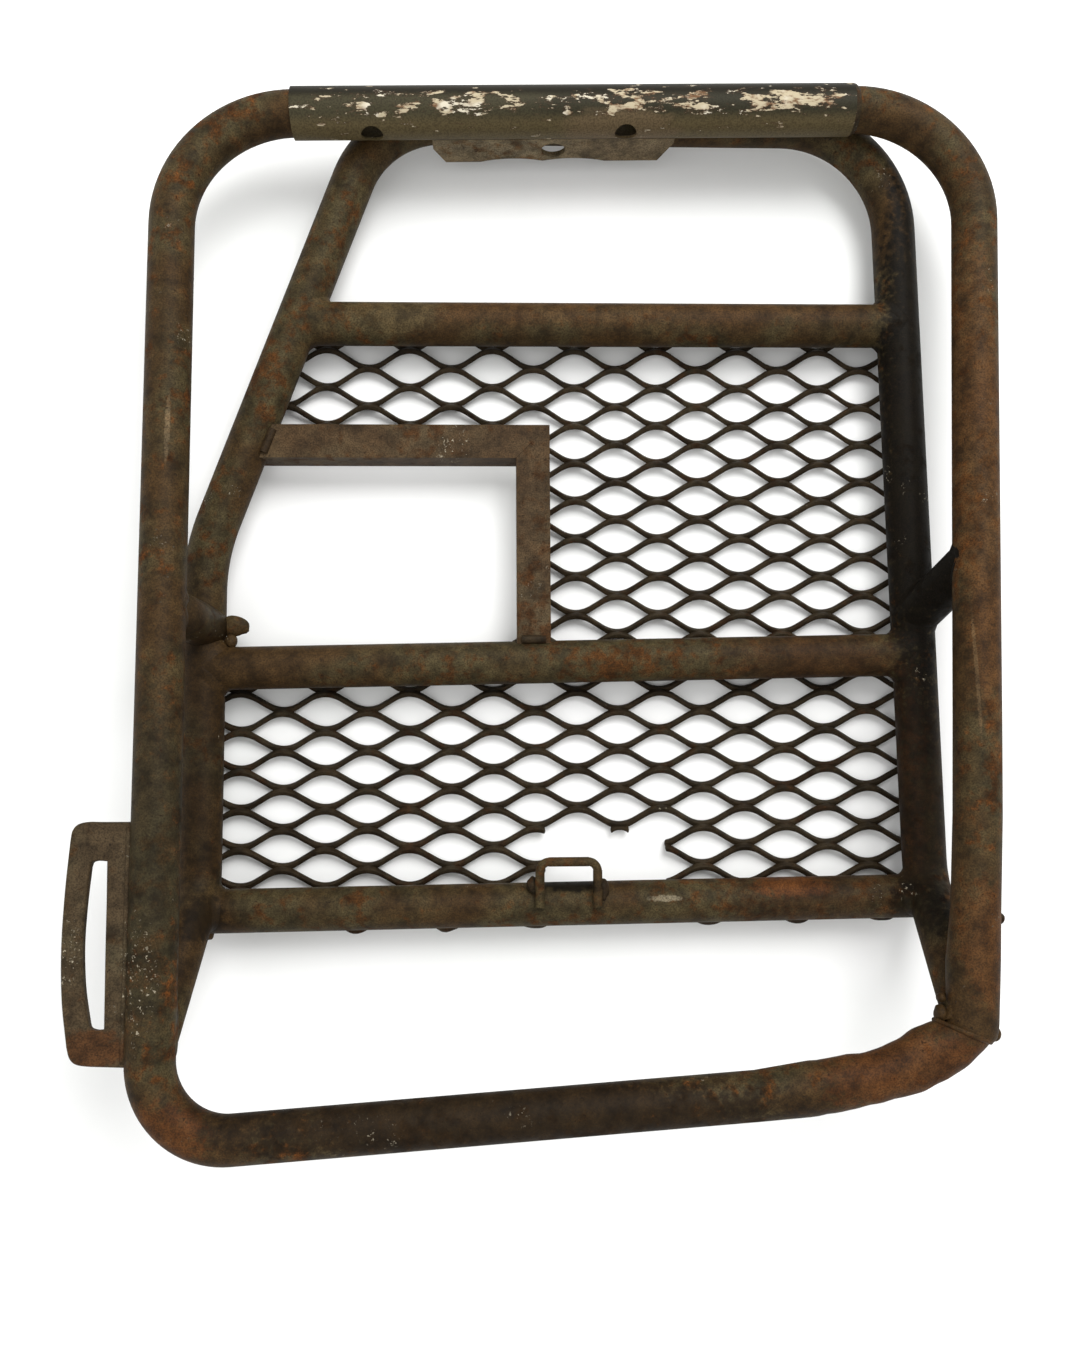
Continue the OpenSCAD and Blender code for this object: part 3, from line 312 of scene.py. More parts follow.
def chipped_paint(name):
    """Dark paint, browner towards -Y, with painted shade darkening it towards +Y, and cream chips in groups
    along the side that faces up. The angle round the sleeve is atan2(axis y - y, z - axis z)."""
    finish, tree, shader, coords = new_finish(name)
    parts = add_node(tree, "ShaderNodeSeparateXYZ", Vector=coords).outputs
    stretched = add_node(tree, "ShaderNodeMapping", Vector=coords, Scale=(0.36, 1.0, 1.0),
                         Location=(0.4, 0.2, 0.0)).outputs[0]
    broad = noise(tree, stretched, 24.0, 3.0)
    flake = noise(tree, stretched, 215.0, 6.0, 0.64)
    tear = noise(tree, stretched, 380.0, 5.0, 0.7)
    grain = noise(tree, coords, 1000.0, 3.0)
    run = maths(tree, "SUBTRACT", parts["X"], SLEEVE_AT[0])
    axis_y = maths(tree, "ADD", maths(tree, "MULTIPLY", run, SLEEVE_RISE), SLEEVE_AT[1])
    angle = maths(tree, "ARCTAN2", maths(tree, "SUBTRACT", axis_y, parts["Y"]),
                  maths(tree, "SUBTRACT", parts["Z"], SLEEVE_AT[2]))
    off_band = maths(tree, "ABSOLUTE", maths(tree, "SUBTRACT", angle, BAND_MIDDLE), 0.0)
    band = soft_step(tree, off_band, 0.85, 0.05)
    group = 0.0
    for middle, half, weight in CHIP_GROUPS:
        far = maths(tree, "ABSOLUTE", maths(tree, "SUBTRACT", parts["X"], middle), 0.0)
        inside = maths(tree, "MULTIPLY", soft_step(tree, far, 1.7 * half, 0.1 * half), weight)
        group = maths(tree, "MAXIMUM", group, inside)
    paint = mixed(tree, soft_step(tree, broad, 0.4, 0.62), srgb(44, 42, 30), srgb(60, 56, 40))
    low = soft_step(tree, angle, 0.45, 1.0)
    paint = mixed(tree, maths(tree, "MULTIPLY", low, 0.8), paint, srgb(92, 80, 54))
    # Painted shade: the side towards +Y is darkened.
    high = soft_step(tree, angle, 0.0, -0.4)
    paint = mixed(tree, maths(tree, "MULTIPLY", high, 0.85), paint, srgb(24, 22, 15))
    hole = stain_mask(tree, parts, flake, (0.0400, 0.2670), (0.034, 0.009))
    paint = mixed(tree, maths(tree, "MULTIPLY", hole, 0.75), paint, srgb(98, 82, 60))
    dull = soft_step(tree, grain, 0.56, 0.40)
    paint = mixed(tree, maths(tree, "MULTIPLY", dull, 0.4), paint, PIT_BROWN)
    reach = maths(tree, "ADD", maths(tree, "MULTIPLY", flake, 0.66), maths(tree, "MULTIPLY", tear, 0.34))
    there = maths(tree, "MULTIPLY", band, maths(tree, "ADD", maths(tree, "MULTIPLY", group, 0.75), 0.25))
    edge = maths(tree, "ADD", reach, maths(tree, "MULTIPLY", there, 0.14))
    chips = soft_step(tree, edge, 0.612, 0.622)
    bare = mixed(tree, soft_step(tree, tear, 0.42, 0.58), srgb(104, 78, 56), srgb(172, 160, 134))
    pale = soft_step(tree, noise(tree, coords, 70.0, 2.0), 0.5, 0.62)
    bare = mixed(tree, pale, bare, srgb(198, 190, 170))
    rim = maths(tree, "MULTIPLY", soft_step(tree, edge, 0.57, 0.612), maths(tree, "SUBTRACT", 1.0, chips))
    colour = mixed(tree, maths(tree, "MULTIPLY", rim, 0.5), paint, srgb(66, 46, 32))
    colour = mixed(tree, chips, colour, bare)
    feed(tree, shader.inputs["Base Color"], colour)
    rough = add_node(tree, "ShaderNodeMapRange", Value=chips, To_Min=0.5, To_Max=0.85).outputs["Result"]
    feed(tree, shader.inputs["Roughness"], rough)
    shader.inputs["Specular IOR Level"].default_value = 0.08
    height = maths(tree, "SUBTRACT", maths(tree, "MULTIPLY", grain, 0.25), chips)
    bump = add_node(tree, "ShaderNodeBump", Strength=0.5, Distance=0.0004, Height=height)
    feed(tree, shader.inputs["Normal"], bump.outputs["Normal"])
    return finish


sleeve_finish = chipped_paint("chipped_sleeve")
print("sleeve finish nodes:", len(sleeve_finish.node_tree.nodes))

# %% [markdown]
# ## Dressing the solids
# Each solid gets its finish first. Two crossbars, the right strut, the sleeve, the thin
# plate, the rails and the staple need no more than that. The other tubes, the slotted
# plate, the mesh and most welds are drawn again further on, and take the same finish
# there. The outer hoop is rustier than the inner frame, which sat behind it, so they get
# a finish each. Sheared plate never has a knife edge, so a narrow bevel eases the edges
# of the thin plate and the rails.

# %% Finishes on the solids
PLATES, BEVEL_W = ["mounting_plate", "window_top_rail", "window_side_rail"], 0.0006
FINISH_OF = {
    hoop_finish: ["hoop_left_tube", "hoop_right_tube"],
    frame_finish: ["grille_hoop", "upper_crossbar", "middle_crossbar", "lower_crossbar",
                   "left_strut", "right_strut", "lock_staple"],
    mount_finish: ["mounting_plate"],
    plate_finish: ["slotted_plate", "slotted_plate_weld"],
    rail_finish: ["window_top_rail", "window_side_rail"],
    mesh_finish: ["mesh_top_strip", "mesh_side_panel", "mesh_lower_panel"],
    sleeve_finish: ["top_sleeve"],
    weld_finish: [n for n in nodes if "weld" in n and n != "slotted_plate_weld"],
}
for finish, names in FINISH_OF.items():
    for name in names:
        nodes[name].data.materials.clear()
        nodes[name].data.materials.append(finish)
for name in PLATES:
    bevel = nodes[name].modifiers.new("eased_edges", "BEVEL")
    bevel.width = BEVEL_W
    bevel.segments = 2
    bevel.limit_method = "ANGLE"
print("dressed:", sum(len(names) for names in FINISH_OF.values()), "of", len(nodes))

# %% [markdown]
# ## From arrays to a mesh
# Every new piece here is a row of rings: a profile carried along a path, or the slices of
# a lump of weld. Its points come as one array, and the faces follow from counting: each
# ring joins the next, point by point. A path that ends gets a cap on each end, and a path
# that closes needs none.

# %% Mesh helpers


def skin(rings, closed=False):
    """Faces over an array of rings (stations, points, 3): quads between neighbouring rings,
    and end caps unless the path closes on itself. Returns points and faces."""
    stations, around = rings.shape[:2]
    spans = stations if closed else stations - 1
    ring, point = np.meshgrid(np.arange(spans), np.arange(around), indexing="ij")
    after, beside = (ring + 1) % stations, (point + 1) % around
    quads = np.stack((ring * around + point, ring * around + beside,
                      after * around + beside, after * around + point), axis=-1).reshape(-1, 4)
    faces = quads.tolist()
    if not closed:
        faces.append(list(range(around))[::-1])
        faces.append(list(range((stations - 1) * around, stations * around)))
    return rings.reshape(-1, 3), faces


def outward(points, faces):
    """Turns the faces round where the enclosed volume comes out negative."""
    fans = [(f[0], f[k], f[k + 1]) for f in faces for k in range(1, len(f) - 1)]
    a, b, c = np.moveaxis(points[np.array(fans)], 1, 0)
    volume = np.einsum("ij,ij->", a - points[0], np.cross(b - points[0], c - points[0]))
    return faces if volume > 0 else [f[::-1] for f in faces]


def piece_from(name, skins, finish, replaced, smooth=True):
    """One object from several skins, riding on the frame in place of its CAD nodes."""
    points, faces, count = [], [], 0
    for skin_points, skin_faces in skins:
        faces += [[count + k for k in f] for f in outward(skin_points, skin_faces)]
        points.append(skin_points)
        count += len(skin_points)
    mesh = bpy.data.meshes.new(name)
    mesh.from_pydata(np.concatenate(points).tolist(), [], faces)
    mesh.polygons.foreach_set("use_smooth", np.full(len(faces), smooth))
    mesh.materials.append(finish)
    made = bpy.data.objects.new(name, mesh)
    bpy.context.scene.collection.objects.link(made)
    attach(made, "root")
    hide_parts(*replaced)
    print(name, len(faces), "faces")


print("two rings of four points make", len(skin(np.zeros((2, 4, 3)))[1]), "faces, caps too")

# %% [markdown]
# ## Bent tubes
# A tube bender rolls a straight tube round a former, so a bent tube is a circle carried
# along straight runs and arcs. Sweeping the circle gives smoother bends than the solids
# have. It also lets one end be shaped from given points: the hoop's bottom bar was heated and
# beaten up to meet the right leg, and it swells and turns round the inner corner there.

# %% Sweep geometry
TUBE_R, TILT = 12.7, np.radians(5.2)
HOOP_TOP_Y, HOOP_TOP_Z = 281.07, 47.86
HOOP_NORMAL = np.array((0.0, np.sin(TILT), np.cos(TILT)))


def unit(vectors):
    """Vectors made one long."""
    return vectors / np.linalg.norm(vectors, axis=-1, keepdims=True)


def bent_line(corners, radii, steps=24):
    """Points of a centre line through its corners, each inner corner rounded to an arc:
    m + (sin((1 - t) a) u + sin(t a) v) / sin(a), for arms u and v that open by the turn a."""
    corners, line = np.array(corners, float), [np.array(corners[:1], float)]
    for before, corner, after, radius in zip(corners, corners[1:], corners[2:], radii):
        come, go = unit(corner - before), unit(after - corner)
        turn = np.arccos(come @ go)
        middle = corner + unit(go - come) * radius / np.cos(turn / 2)
        back = radius * np.tan(turn / 2)
        u = corner - back * come - middle
        v = corner + back * go - middle
        t = np.linspace(0, 1, steps)[:, None]
        line.append(middle + (np.sin((1 - t) * turn) * u + np.sin(t * turn) * v) / np.sin(turn))
    return np.concatenate(line + [corners[-1:]])


def tube_rings(line, radius=TUBE_R, around=48):
    """Circles c + r (cos(f) e + sin(f) n) round a line, e level and n across both."""
    ahead = unit(np.gradient(line, axis=0))
    level = unit(np.cross(ahead, (0.0, 0.0, 1.0)))
    over = np.cross(level, ahead)
    turn = np.linspace(0, 2 * np.pi, around, endpoint=False)[:, None]
    return line[:, None] + radius * (np.cos(turn) * level[:, None] + np.sin(turn) * over[:, None])


def on_hoop(x, y):
    """Points of the hoop's tilted plane: z = z0 + (y0 - y) tan(tilt)."""
    return np.stack((x, y, HOOP_TOP_Z + (HOOP_TOP_Y - y) * np.tan(TILT)), axis=-1)


def edge_rings(left_xy, right_xy, around=48):
    """Ellipses m + cos(f) h + sin(f) r n across the hoop's plane, where m is midway between two
    points of the tube's outline, h half the way between them and n the plane's normal."""
    left, right = (on_hoop(*np.array(side, float).T) for side in (left_xy, right_xy))
    middle, half = (left + right) / 2, (left - right) / 2
    turn = np.linspace(0, 2 * np.pi, around, endpoint=False)[:, None]
    return middle[:, None] + np.cos(turn) * half[:, None] + np.sin(turn) * TUBE_R * HOOP_NORMAL


def dented(rings, depth, seed):
    """Rings pushed in and out from their middles: p + d f(p) o, where f is the mean of a few seeded
    waves and o the way out from the ring's middle."""
    rng = np.random.default_rng(seed)
    waves, starts = rng.normal(0, 0.16, (7, 3)), rng.uniform(0, 6.3, 7)
    push = np.sin(rings @ waves.T + starts).mean(axis=-1, keepdims=True)
    return rings + depth * push * unit(rings - rings.mean(axis=1, keepdims=True))


top_and_bottom = on_hoop(np.zeros(2), np.array((HOOP_TOP_Y, -HOOP_TOP_Y)))
print("hoop's axis over the table at top and bottom, mm:", top_and_bottom[:, 2].round(1))

# %% [markdown]
# The hoop is two tubes that butt inside the sleeve, so each is drawn only a little way
# into it. The left one goes round the lower left corner and along the bottom, and ends at
# a seam on the right leg. Its last part is given by its two edges, read off the outline,
# so the section can widen and fan round.

# %% Hoop tubes
BAR_END_TOP = [(123.0, -256.8), (144.2, -253.6), (161.1, -251.6), (174.6, -246.5), (182.9, -241.3),
               (190.5, -237.6), (194.3, -236.4), (195.4, -236.2), (195.6, -236.2)]
BAR_END_LOW = [(121.8, -283.5), (142.8, -281.4), (157.1, -278.1), (172.5, -274.9), (185.8, -271.6),
               (197.7, -266.6), (209.2, -260.5), (216.5, -254.4), (223.1, -247.5)]
LEG_END_IN = [(203.6, -206.0), (202.4, -226.1), (200.1, -236.8), (199.8, -240.2)]
LEG_END_OUT = [(231.6, -206.0), (229.6, -226.5), (227.6, -243.6), (223.6, -248.4)]
LEFT_BUTT, RIGHT_BUTT = (-130.0, 278.27, 48.12), (150.0, 284.01, 47.59)
HOOP_TL, HOOP_BL, HOOP_TR = (-219.88, 276.42, 48.28), (-211.21, -292.58, 100.07), (251.05, 286.08, 47.41)
BAR_ROUND_END, LEG_ROUND_END = (100.0, -272.6, 98.3), (228.5, -80.0, 80.7)
LEG_BOW_X, LEG_BOW_Y = (225.2, 220.8), (-130.0, -180.0)
LEFT_BENDS, RIGHT_BENDS = [70, 40], [67]
END_DENT, END_SEED = 0.9, 3


def eased(points, count):
    """A smooth run through a few given points: between two of them a cubic that leaves each with
    half the step from its neighbour before to its neighbour after as its slope."""
    points, given = np.array(points, float), np.arange(len(points))
    at = np.linspace(0, len(points) - 1, count)
    slope = np.gradient(points, axis=0)
    k = np.minimum(at.astype(int), len(points) - 2)
    t = (at - given[k])[:, None]
    return ((1 + 2 * t) * (1 - t) ** 2 * points[k] + t * (1 - t) ** 2 * slope[k]
            + t ** 2 * (3 - 2 * t) * points[k + 1] - t ** 2 * (1 - t) * slope[k + 1])


left_line = bent_line([LEFT_BUTT, HOOP_TL, HOOP_BL, BAR_ROUND_END], LEFT_BENDS)
bar_end = dented(edge_rings(eased(BAR_END_LOW, 40), eased(BAR_END_TOP, 40)), END_DENT, END_SEED)
left_rings = np.concatenate((tube_rings(left_line), bar_end[1:]))
right_line = bent_line([RIGHT_BUTT, HOOP_TR, LEG_ROUND_END], RIGHT_BENDS)
right_line = np.concatenate((right_line, on_hoop(np.array(LEG_BOW_X), np.array(LEG_BOW_Y))))
leg_end = edge_rings(eased(LEG_END_IN, 12), eased(LEG_END_OUT, 12))
right_rings = np.concatenate((tube_rings(right_line), leg_end))
piece_from("hoop_left_sweep", [skin(left_rings * MM)], hoop_finish, ["hoop_left_tube"])
piece_from("hoop_right_sweep", [skin(right_rings * MM)], hoop_finish, ["hoop_right_tube"])

# %% [markdown]
# The inner frame is one tube with five bends. It starts at the left foot on the hoop,
# comes down in a knee, runs up the left leg and slants inwards to the top bar, and goes
# down the right leg to the other knee and foot. Only its corners and bend radii are
# needed, so a kink is never drawn by hand.

# %% Frame tube
FRAME_Z = 20.94
LEFT_FOOT, RIGHT_FOOT = (-212.6, -246.5, 95.87), (213.0, -235.5, 94.87)
LEFT_KNEE, RIGHT_KNEE = (-208.5, -174.5, FRAME_Z), (220.3, -171.5, FRAME_Z)
SLANT_FOOT, FRAME_TL = (-206.754, 23.472, FRAME_Z), (-106.05, 289.97, FRAME_Z)
FRAME_TR = (208.74, 289.97, FRAME_Z)
KNEE_BEND = 28
FRAME_BENDS = [KNEE_BEND, 125, 58, 68, KNEE_BEND]
frame_line = bent_line([LEFT_FOOT, LEFT_KNEE, SLANT_FOOT, FRAME_TL, FRAME_TR, RIGHT_KNEE, RIGHT_FOOT],
                       FRAME_BENDS)
piece_from("frame_sweep", [skin(tube_rings(frame_line) * MM)], frame_finish, ["grille_hoop"])

# %% [markdown]
# The slotted plate was cut from flat stock with a bowed outer edge, and a long slot runs
# along it. A plate with one hole is a ring in disguise: its section, a thin rectangle
# with eased edges, is carried round the hole, wide at the ends and narrow at the sides.
# A thin bead of weld on either face holds it to the left leg.

# %% Slotted plate
PLATE_T, EDGE_EASE = 5.0, 0.7
PLATE_OUT = [
    [(-220.0, -129.9), (-240.0, -129.8), (-248.2, -129.7), (-253.6, -131.0), (-256.4, -134.4),
     (-257.2, -140.0)],
    [(-257.2, -140.0), (-258.6, -165.0), (-259.0, -193.6), (-257.4, -220.0), (-253.8, -243.3)],
    [(-253.8, -243.3), (-252.2, -248.4), (-249.4, -251.4), (-244.0, -252.7), (-233.0, -253.3),
     (-218.0, -253.9)],
    [(-218.0, -253.9), (-218.5, -222.0), (-219.0, -192.0), (-219.5, -160.0), (-220.0, -129.9)],
]
PLATE_IN = [
    [(-237.6, -150.1), (-241.0, -149.9), (-243.6, -150.0), (-245.4, -150.8), (-246.2, -153.0)],
    [(-246.2, -153.0), (-247.6, -173.0), (-248.0, -193.7), (-246.4, -214.0), (-243.1, -231.7)],
    [(-243.1, -231.7), (-242.2, -234.0), (-240.0, -235.0), (-237.4, -235.2), (-235.2, -234.6)],
    [(-235.2, -234.6), (-235.8, -214.0), (-236.4, -193.8), (-236.9, -172.0), (-237.6, -150.1)],
]
PLATE_BEAD_FROM, PLATE_BEAD_TO, PLATE_BEAD_R, PLATE_BEAD_SIDE = -133.0, -250.5, 1.5, 2.7
LEFT_LEG_LEAN, PLATE_BEAD_IN = 0.01524, 13.0


def plate_ring(outer, inner):
    """Rings of a flat plate round its hole: at each station the section runs along the outer
    edge, over the front, along the hole's edge and back, each corner eased by a short chamfer."""
    out, hole = (np.concatenate([on_hoop(*eased(side, 36)[:-1].T) for side in loop])
                 for loop in (outer, inner))
    half, ease = PLATE_T / 2 * HOOP_NORMAL, EDGE_EASE * HOOP_NORMAL
    step = EDGE_EASE * unit(hole - out)
    return np.stack((out - half + ease, out + half - ease, out + step + half, hole - step + half,
                     hole + half - ease, hole - half + ease, hole - step - half, out + step - half), axis=1)


piece_from("slotted_plate_cut", [skin(plate_ring(PLATE_OUT, PLATE_IN) * MM, closed=True)], plate_finish,
           ["slotted_plate"], smooth=False)
along = np.linspace(PLATE_BEAD_FROM, PLATE_BEAD_TO, 40)
leg_x = HOOP_TL[0] + (HOOP_TL[1] - along) * LEFT_LEG_LEAN
plate_beads = []
for side in (-PLATE_BEAD_SIDE, PLATE_BEAD_SIDE):
    bead_line = on_hoop(leg_x - PLATE_BEAD_IN, along) + side * HOOP_NORMAL
    plate_beads.append(skin(dented(tube_rings(bead_line, PLATE_BEAD_R, 12), 0.5, 8) * MM))
piece_from("slotted_plate_beads", plate_beads, plate_finish, ["slotted_plate_weld"])

# %% [markdown]
# ## Expanded metal
# A sheet is slit in rows and pulled, so it opens into diamonds without losing metal.
# Each row between two lines of slits is one wavy ribbon that leans, touches the ribbon
# below it at every second crest and the ribbon above it at the others. The touching
# places are the bonds. So the grille is not a grid of bars: it is some thirty ribbons,
# each a rounded, leaning rectangle carried along a wave.

# %% Ribbon geometry
LONG_PITCH, SHORT_PITCH = 50.8, 23.54
RIBBON_W, RIBBON_T, RIBBON_LEAN = 3.8, 3.2, np.radians(58.0)
BOND_L, CREST_EASE, EDGE_R = 9.0, 4.0, 0.6
SHEET_X, SHEET_Y = 14.246, 71.472
SHEET_H = 2 * RIBBON_W * np.sin(RIBBON_LEAN) + RIBBON_T * np.cos(RIBBON_LEAN)
ACROSS = np.array((0.0, -np.cos(RIBBON_LEAN), np.sin(RIBBON_LEAN)))
THROUGH = np.array((0.0, np.sin(RIBBON_LEAN), np.cos(RIBBON_LEAN)))
STATION_STEP = 1.7


def bond_xy(column, row):
    """Middle of a bond of the diamond lattice, in mm."""
    return SHEET_X + column * LONG_PITCH / 2, SHEET_Y - row * SHORT_PITCH / 2


def wave_share(row, x):
    """How far a ribbon has climbed from its own bonds, 0, to the bonds above it, 1: a
    trapezoid wave with flats as long as a bond, averaged over a short window to round it."""
    window = np.linspace(-CREST_EASE, CREST_EASE, 9)
    phase = (x[:, None] + window - bond_xy(row + 1, row)[0]) / (LONG_PITCH / 2)
    climb = 1 - np.abs(phase % 2 - 1)
    flat = BOND_L / LONG_PITCH
    return np.clip((climb - flat) / (1 - 2 * flat), 0, 1).mean(axis=1)


def ribbon_rings(row, x, scale):
    """Rings of one ribbon at the stations x: a rectangle with rounded corners, leaning with
    the sheet's strands. At a bond the corners on the shared side close up to square."""
    share = wave_share(row, x)
    lean_y, lean_z = RIBBON_W / 2 * np.cos(RIBBON_LEAN), RIBBON_W / 2 * np.sin(RIBBON_LEAN)
    low_y, rise = bond_xy(0, row)[1] + lean_y, SHORT_PITCH / 2 - 2 * lean_y
    centre = np.stack((x, low_y + share * rise, SHEET_H / 2 - lean_z + 2 * lean_z * share), axis=1)
    sides = np.array(((1, 1), (-1, 1), (-1, -1), (1, -1)))
    turns = np.radians(np.array((0, 90, 180, 270))[:, None] + np.array((8, 32, 58, 82))[None, :])
    open_share = np.clip(np.stack((share, 1 - share, 1 - share, share), axis=1) * 4, 0.08, 1)
    radius = (EDGE_R * open_share)[:, :, None]
    u = sides[:, 0][None, :, None] * (RIBBON_W / 2 - radius) + radius * np.cos(turns)
    n = sides[:, 1][None, :, None] * (RIBBON_T / 2 - radius) + radius * np.sin(turns)
    u, n = (v.reshape(len(x), -1, 1) * scale[:, None, None] for v in (u, n))
    return (centre[:, None, :] + u * ACROSS + n * THROUGH) * MM


print("height of the raised sheet, mm:", round(SHEET_H, 2))

# %% [markdown]
# The sheet runs under the frame on all sides, leaves the window free and has lost a
# few strands over the lower crossbar. Each ribbon is walked from left to right: a bond
# or a strand that is there extends the run, and a missing one ends it. An end inside
# the torn place is a short rounded stub, and two bonds are torn through.

# %% Ribbon runs
FRAME_LEFT, FRAME_RIGHT = -206.754, 220.246
LOWER_BAR_Y, MIDDLE_BAR_Y, UPPER_BAR_Y = -184.028, -41.128, 163.672
SLANT_Y, SLANT, RIGHT_LEAN = 23.472, np.tan(np.radians(20.7)), np.tan(np.radians(1.39))
WINDOW_RIGHT, WINDOW_TOP = -22.254, 89.972
TEAR = ((-6.254, 58.746), (-210.0, -142.028))
TORN_REACH, TEAR_BESIDE, TEAR_OVER = 1.1, 14, 20
ROWS, COLUMNS = range(-12, 28), range(-14, 15)
TORN_BONDS = {(2, 19): 3.2, (2, 21): 3.6}


def torn(x, y):
    """Inside the torn place over the lower crossbar."""
    return TEAR[0][0] < x < TEAR[0][1] and TEAR[1][0] < y < TEAR[1][1]


def has_bond(column, row):
    """A bond is there if it lies within the frame, outside the window and the tear."""
    if (column + row) % 2 == 0:
        return False
    x, y = bond_xy(column, row)
    left = FRAME_LEFT + max(0.0, y - SLANT_Y) * SLANT - TUBE_R
    right = FRAME_RIGHT - (y - LOWER_BAR_Y) * RIGHT_LEAN + TUBE_R
    in_frame = LOWER_BAR_Y - TUBE_R < y < UPPER_BAR_Y + TUBE_R and left < x < right
    in_window = x < WINDOW_RIGHT and MIDDLE_BAR_Y + TUBE_R < y < WINDOW_TOP
    return in_frame and not in_window and not torn(x, y)


def panel_of(column, row):
    """The sheet is told in three panels: over the window, beside it, and the lower one."""
    x, y = bond_xy(column, row)
    return 0 if y > WINDOW_TOP else 1 if x > WINDOW_RIGHT and y > MIDDLE_BAR_Y else 2


def ribbon_steps(row):
    """The stretches of one ribbon from left to right: (from, to, panel) for each bond half
    and each strand that is there."""
    for column in COLUMNS:
        own = (column + row) % 2 == 1
        here = (column, row) if own else (column, row - 1)
        after = (column + 1, row - 1) if own else (column + 1, row)
        x = bond_xy(column, row)[0]
        if has_bond(*here):
            yield x + TORN_BONDS.get(here, -BOND_L / 2), x + BOND_L / 2, panel_of(*here)
        middle = np.mean((bond_xy(*here), bond_xy(*after)), axis=0)
        if has_bond(*here) and has_bond(*after) and not torn(*middle):
            yield x + BOND_L / 2, x + LONG_PITCH / 2 - BOND_L / 2, panel_of(*(here if own else after))


def ribbon_runs(row):
    """Stretches that follow on in the same panel, joined: (from, to, panel)."""
    runs = []
    for start, end, panel in ribbon_steps(row):
        if runs and abs(runs[-1][1] - start) < 0.01 and runs[-1][2] == panel:
            runs[-1][1] = end
        else:
            runs.append([start, end, panel])
    return runs


def is_broken(row, x):
    """An end that hangs free beside the torn place."""
    y = bond_xy(0, row)[1] + SHORT_PITCH / 4
    beside = TEAR[0][0] - TEAR_BESIDE < x < TEAR[0][1] + TEAR_BESIDE
    return beside and LOWER_BAR_Y + TUBE_R < y < TEAR[1][1] + TEAR_OVER


print("bonds left in the sheet:", sum(has_bond(column, row) for row in ROWS for column in COLUMNS))

# %% [markdown]
# Each run becomes one skin. Beside the torn place a ribbon doesn't stop square: it runs
# on a little and thins out like a snapped strand. The window splits the sheet in three,
# so the runs are sorted into the three panels that the solids have.

# %% The three panels
PANELS = ["mesh_top_strip", "mesh_side_panel", "mesh_lower_panel"]
panel_skins = [[], [], []]
for row in ROWS:
    for start, end, panel in ribbon_runs(row):
        stub = TORN_REACH * np.array((0.3, 0.6, 0.85, 1.0))
        x = np.linspace(start, end, int(np.ceil((end - start) / STATION_STEP)) + 4)
        before = start - stub[::-1] if is_broken(row, start) else x[:0]
        after = end + stub if is_broken(row, end) else x[:0]
        x = np.concatenate((before, x, after))
        past = np.maximum(start - x, x - end).clip(0) / TORN_REACH
        thin = np.sqrt(1.08 - past ** 2).clip(max=1)
        if len(before) and len(after):
            thin = thin * (0.5 + 0.35 * np.abs(2 * (x - start) / (end - start) - 1) ** 3).clip(max=1)
        panel_skins[panel].append(skin(ribbon_rings(row, x, thin)))
for name, skins in zip(PANELS, panel_skins):
    piece_from(name.replace("mesh", "grille"), skins, mesh_finish, [name])

# %% [markdown]
# ## Fillet welds
# Where a tube is coped onto another, a fillet of weld metal runs round the joint. Its
# line is where the branch meets the main tube, a saddle. At each point of that line the
# bead has one toe on either tube and a low, painted-over face between them. The main
# tube may bend, so it is told as short stretches, and its surface is the set of points
# at one radius from the nearest stretch.

# %% Fillet geometry
SADDLE_REACH, SADDLE_STEPS, TOE_SUNK = 60, 241, 0.25


def stretches_of(line):
    """The straight stretches between a line's points."""
    return np.stack((line[:-1], line[1:]), axis=1)


def tube_gap(points, stretches):
    """Gap from each point to the tube: min |p - a - s (b - a)| - r over the stretches a to b,
    with s = (p - a).(b - a) / |b - a|^2 held between 0 and 1."""
    along = stretches[:, 1] - stretches[:, 0]
    offset = points[..., None, :] - stretches[:, 0]
    share = np.clip((offset * along).sum(-1) / (along ** 2).sum(-1), 0, 1)
    return np.linalg.norm(offset - share[..., None] * along, axis=-1).min(axis=-1) - TUBE_R


def tube_normal(points, stretches):
    """Direction straight off the tube, from the slope of the gap."""
    steps = 0.05 * np.eye(3)
    slopes = [tube_gap(points + step, stretches) - tube_gap(points - step, stretches) for step in steps]
    return unit(np.stack(slopes, axis=-1))


def saddle_joint(stretches, foot, axis, out):
    """Points j = foot + r out + t axis, where the branch's wall last crosses the main's surface."""
    reach = np.linspace(0, SADDLE_REACH, SADDLE_STEPS)
    gaps = tube_gap(foot + TUBE_R * out[:, None] + reach[:, None] * axis, stretches)
    last = np.where(gaps < 0.01, np.arange(len(reach)), 0).max(axis=1).clip(max=len(reach) - 2)
    low, high = (np.take_along_axis(gaps, (last + k)[:, None], 1)[:, 0] for k in (0, 1))
    at = reach[last] + (reach[1] - reach[0]) * np.clip(-low / (high - low + 1e-9), 0, 1)
    return foot + TUBE_R * out + at[:, None] * axis


def coped_tube(left_main, left, right_main, right):
    """A straight tube between two others: each wall line is (1 - s) j + s k, from its joint j with
    the left main to its joint k with the right one."""
    left, right = np.array(left, float), np.array(right, float)
    axis = unit(right - left)
    phi = np.linspace(0, 2 * np.pi, 64, endpoint=False)[:, None]
    side = unit(np.cross(axis, (0.0, 0.0, 1.0)))
    out = np.cos(phi) * side + np.sin(phi) * np.cross(axis, side)
    start, end = saddle_joint(left_main, left, axis, out), saddle_joint(right_main, right, -axis, out)
    share = np.array((0, 0.01, 0.5, 0.99, 1))[:, None, None]
    return skin(((1 - share) * start + share * end) * MM)


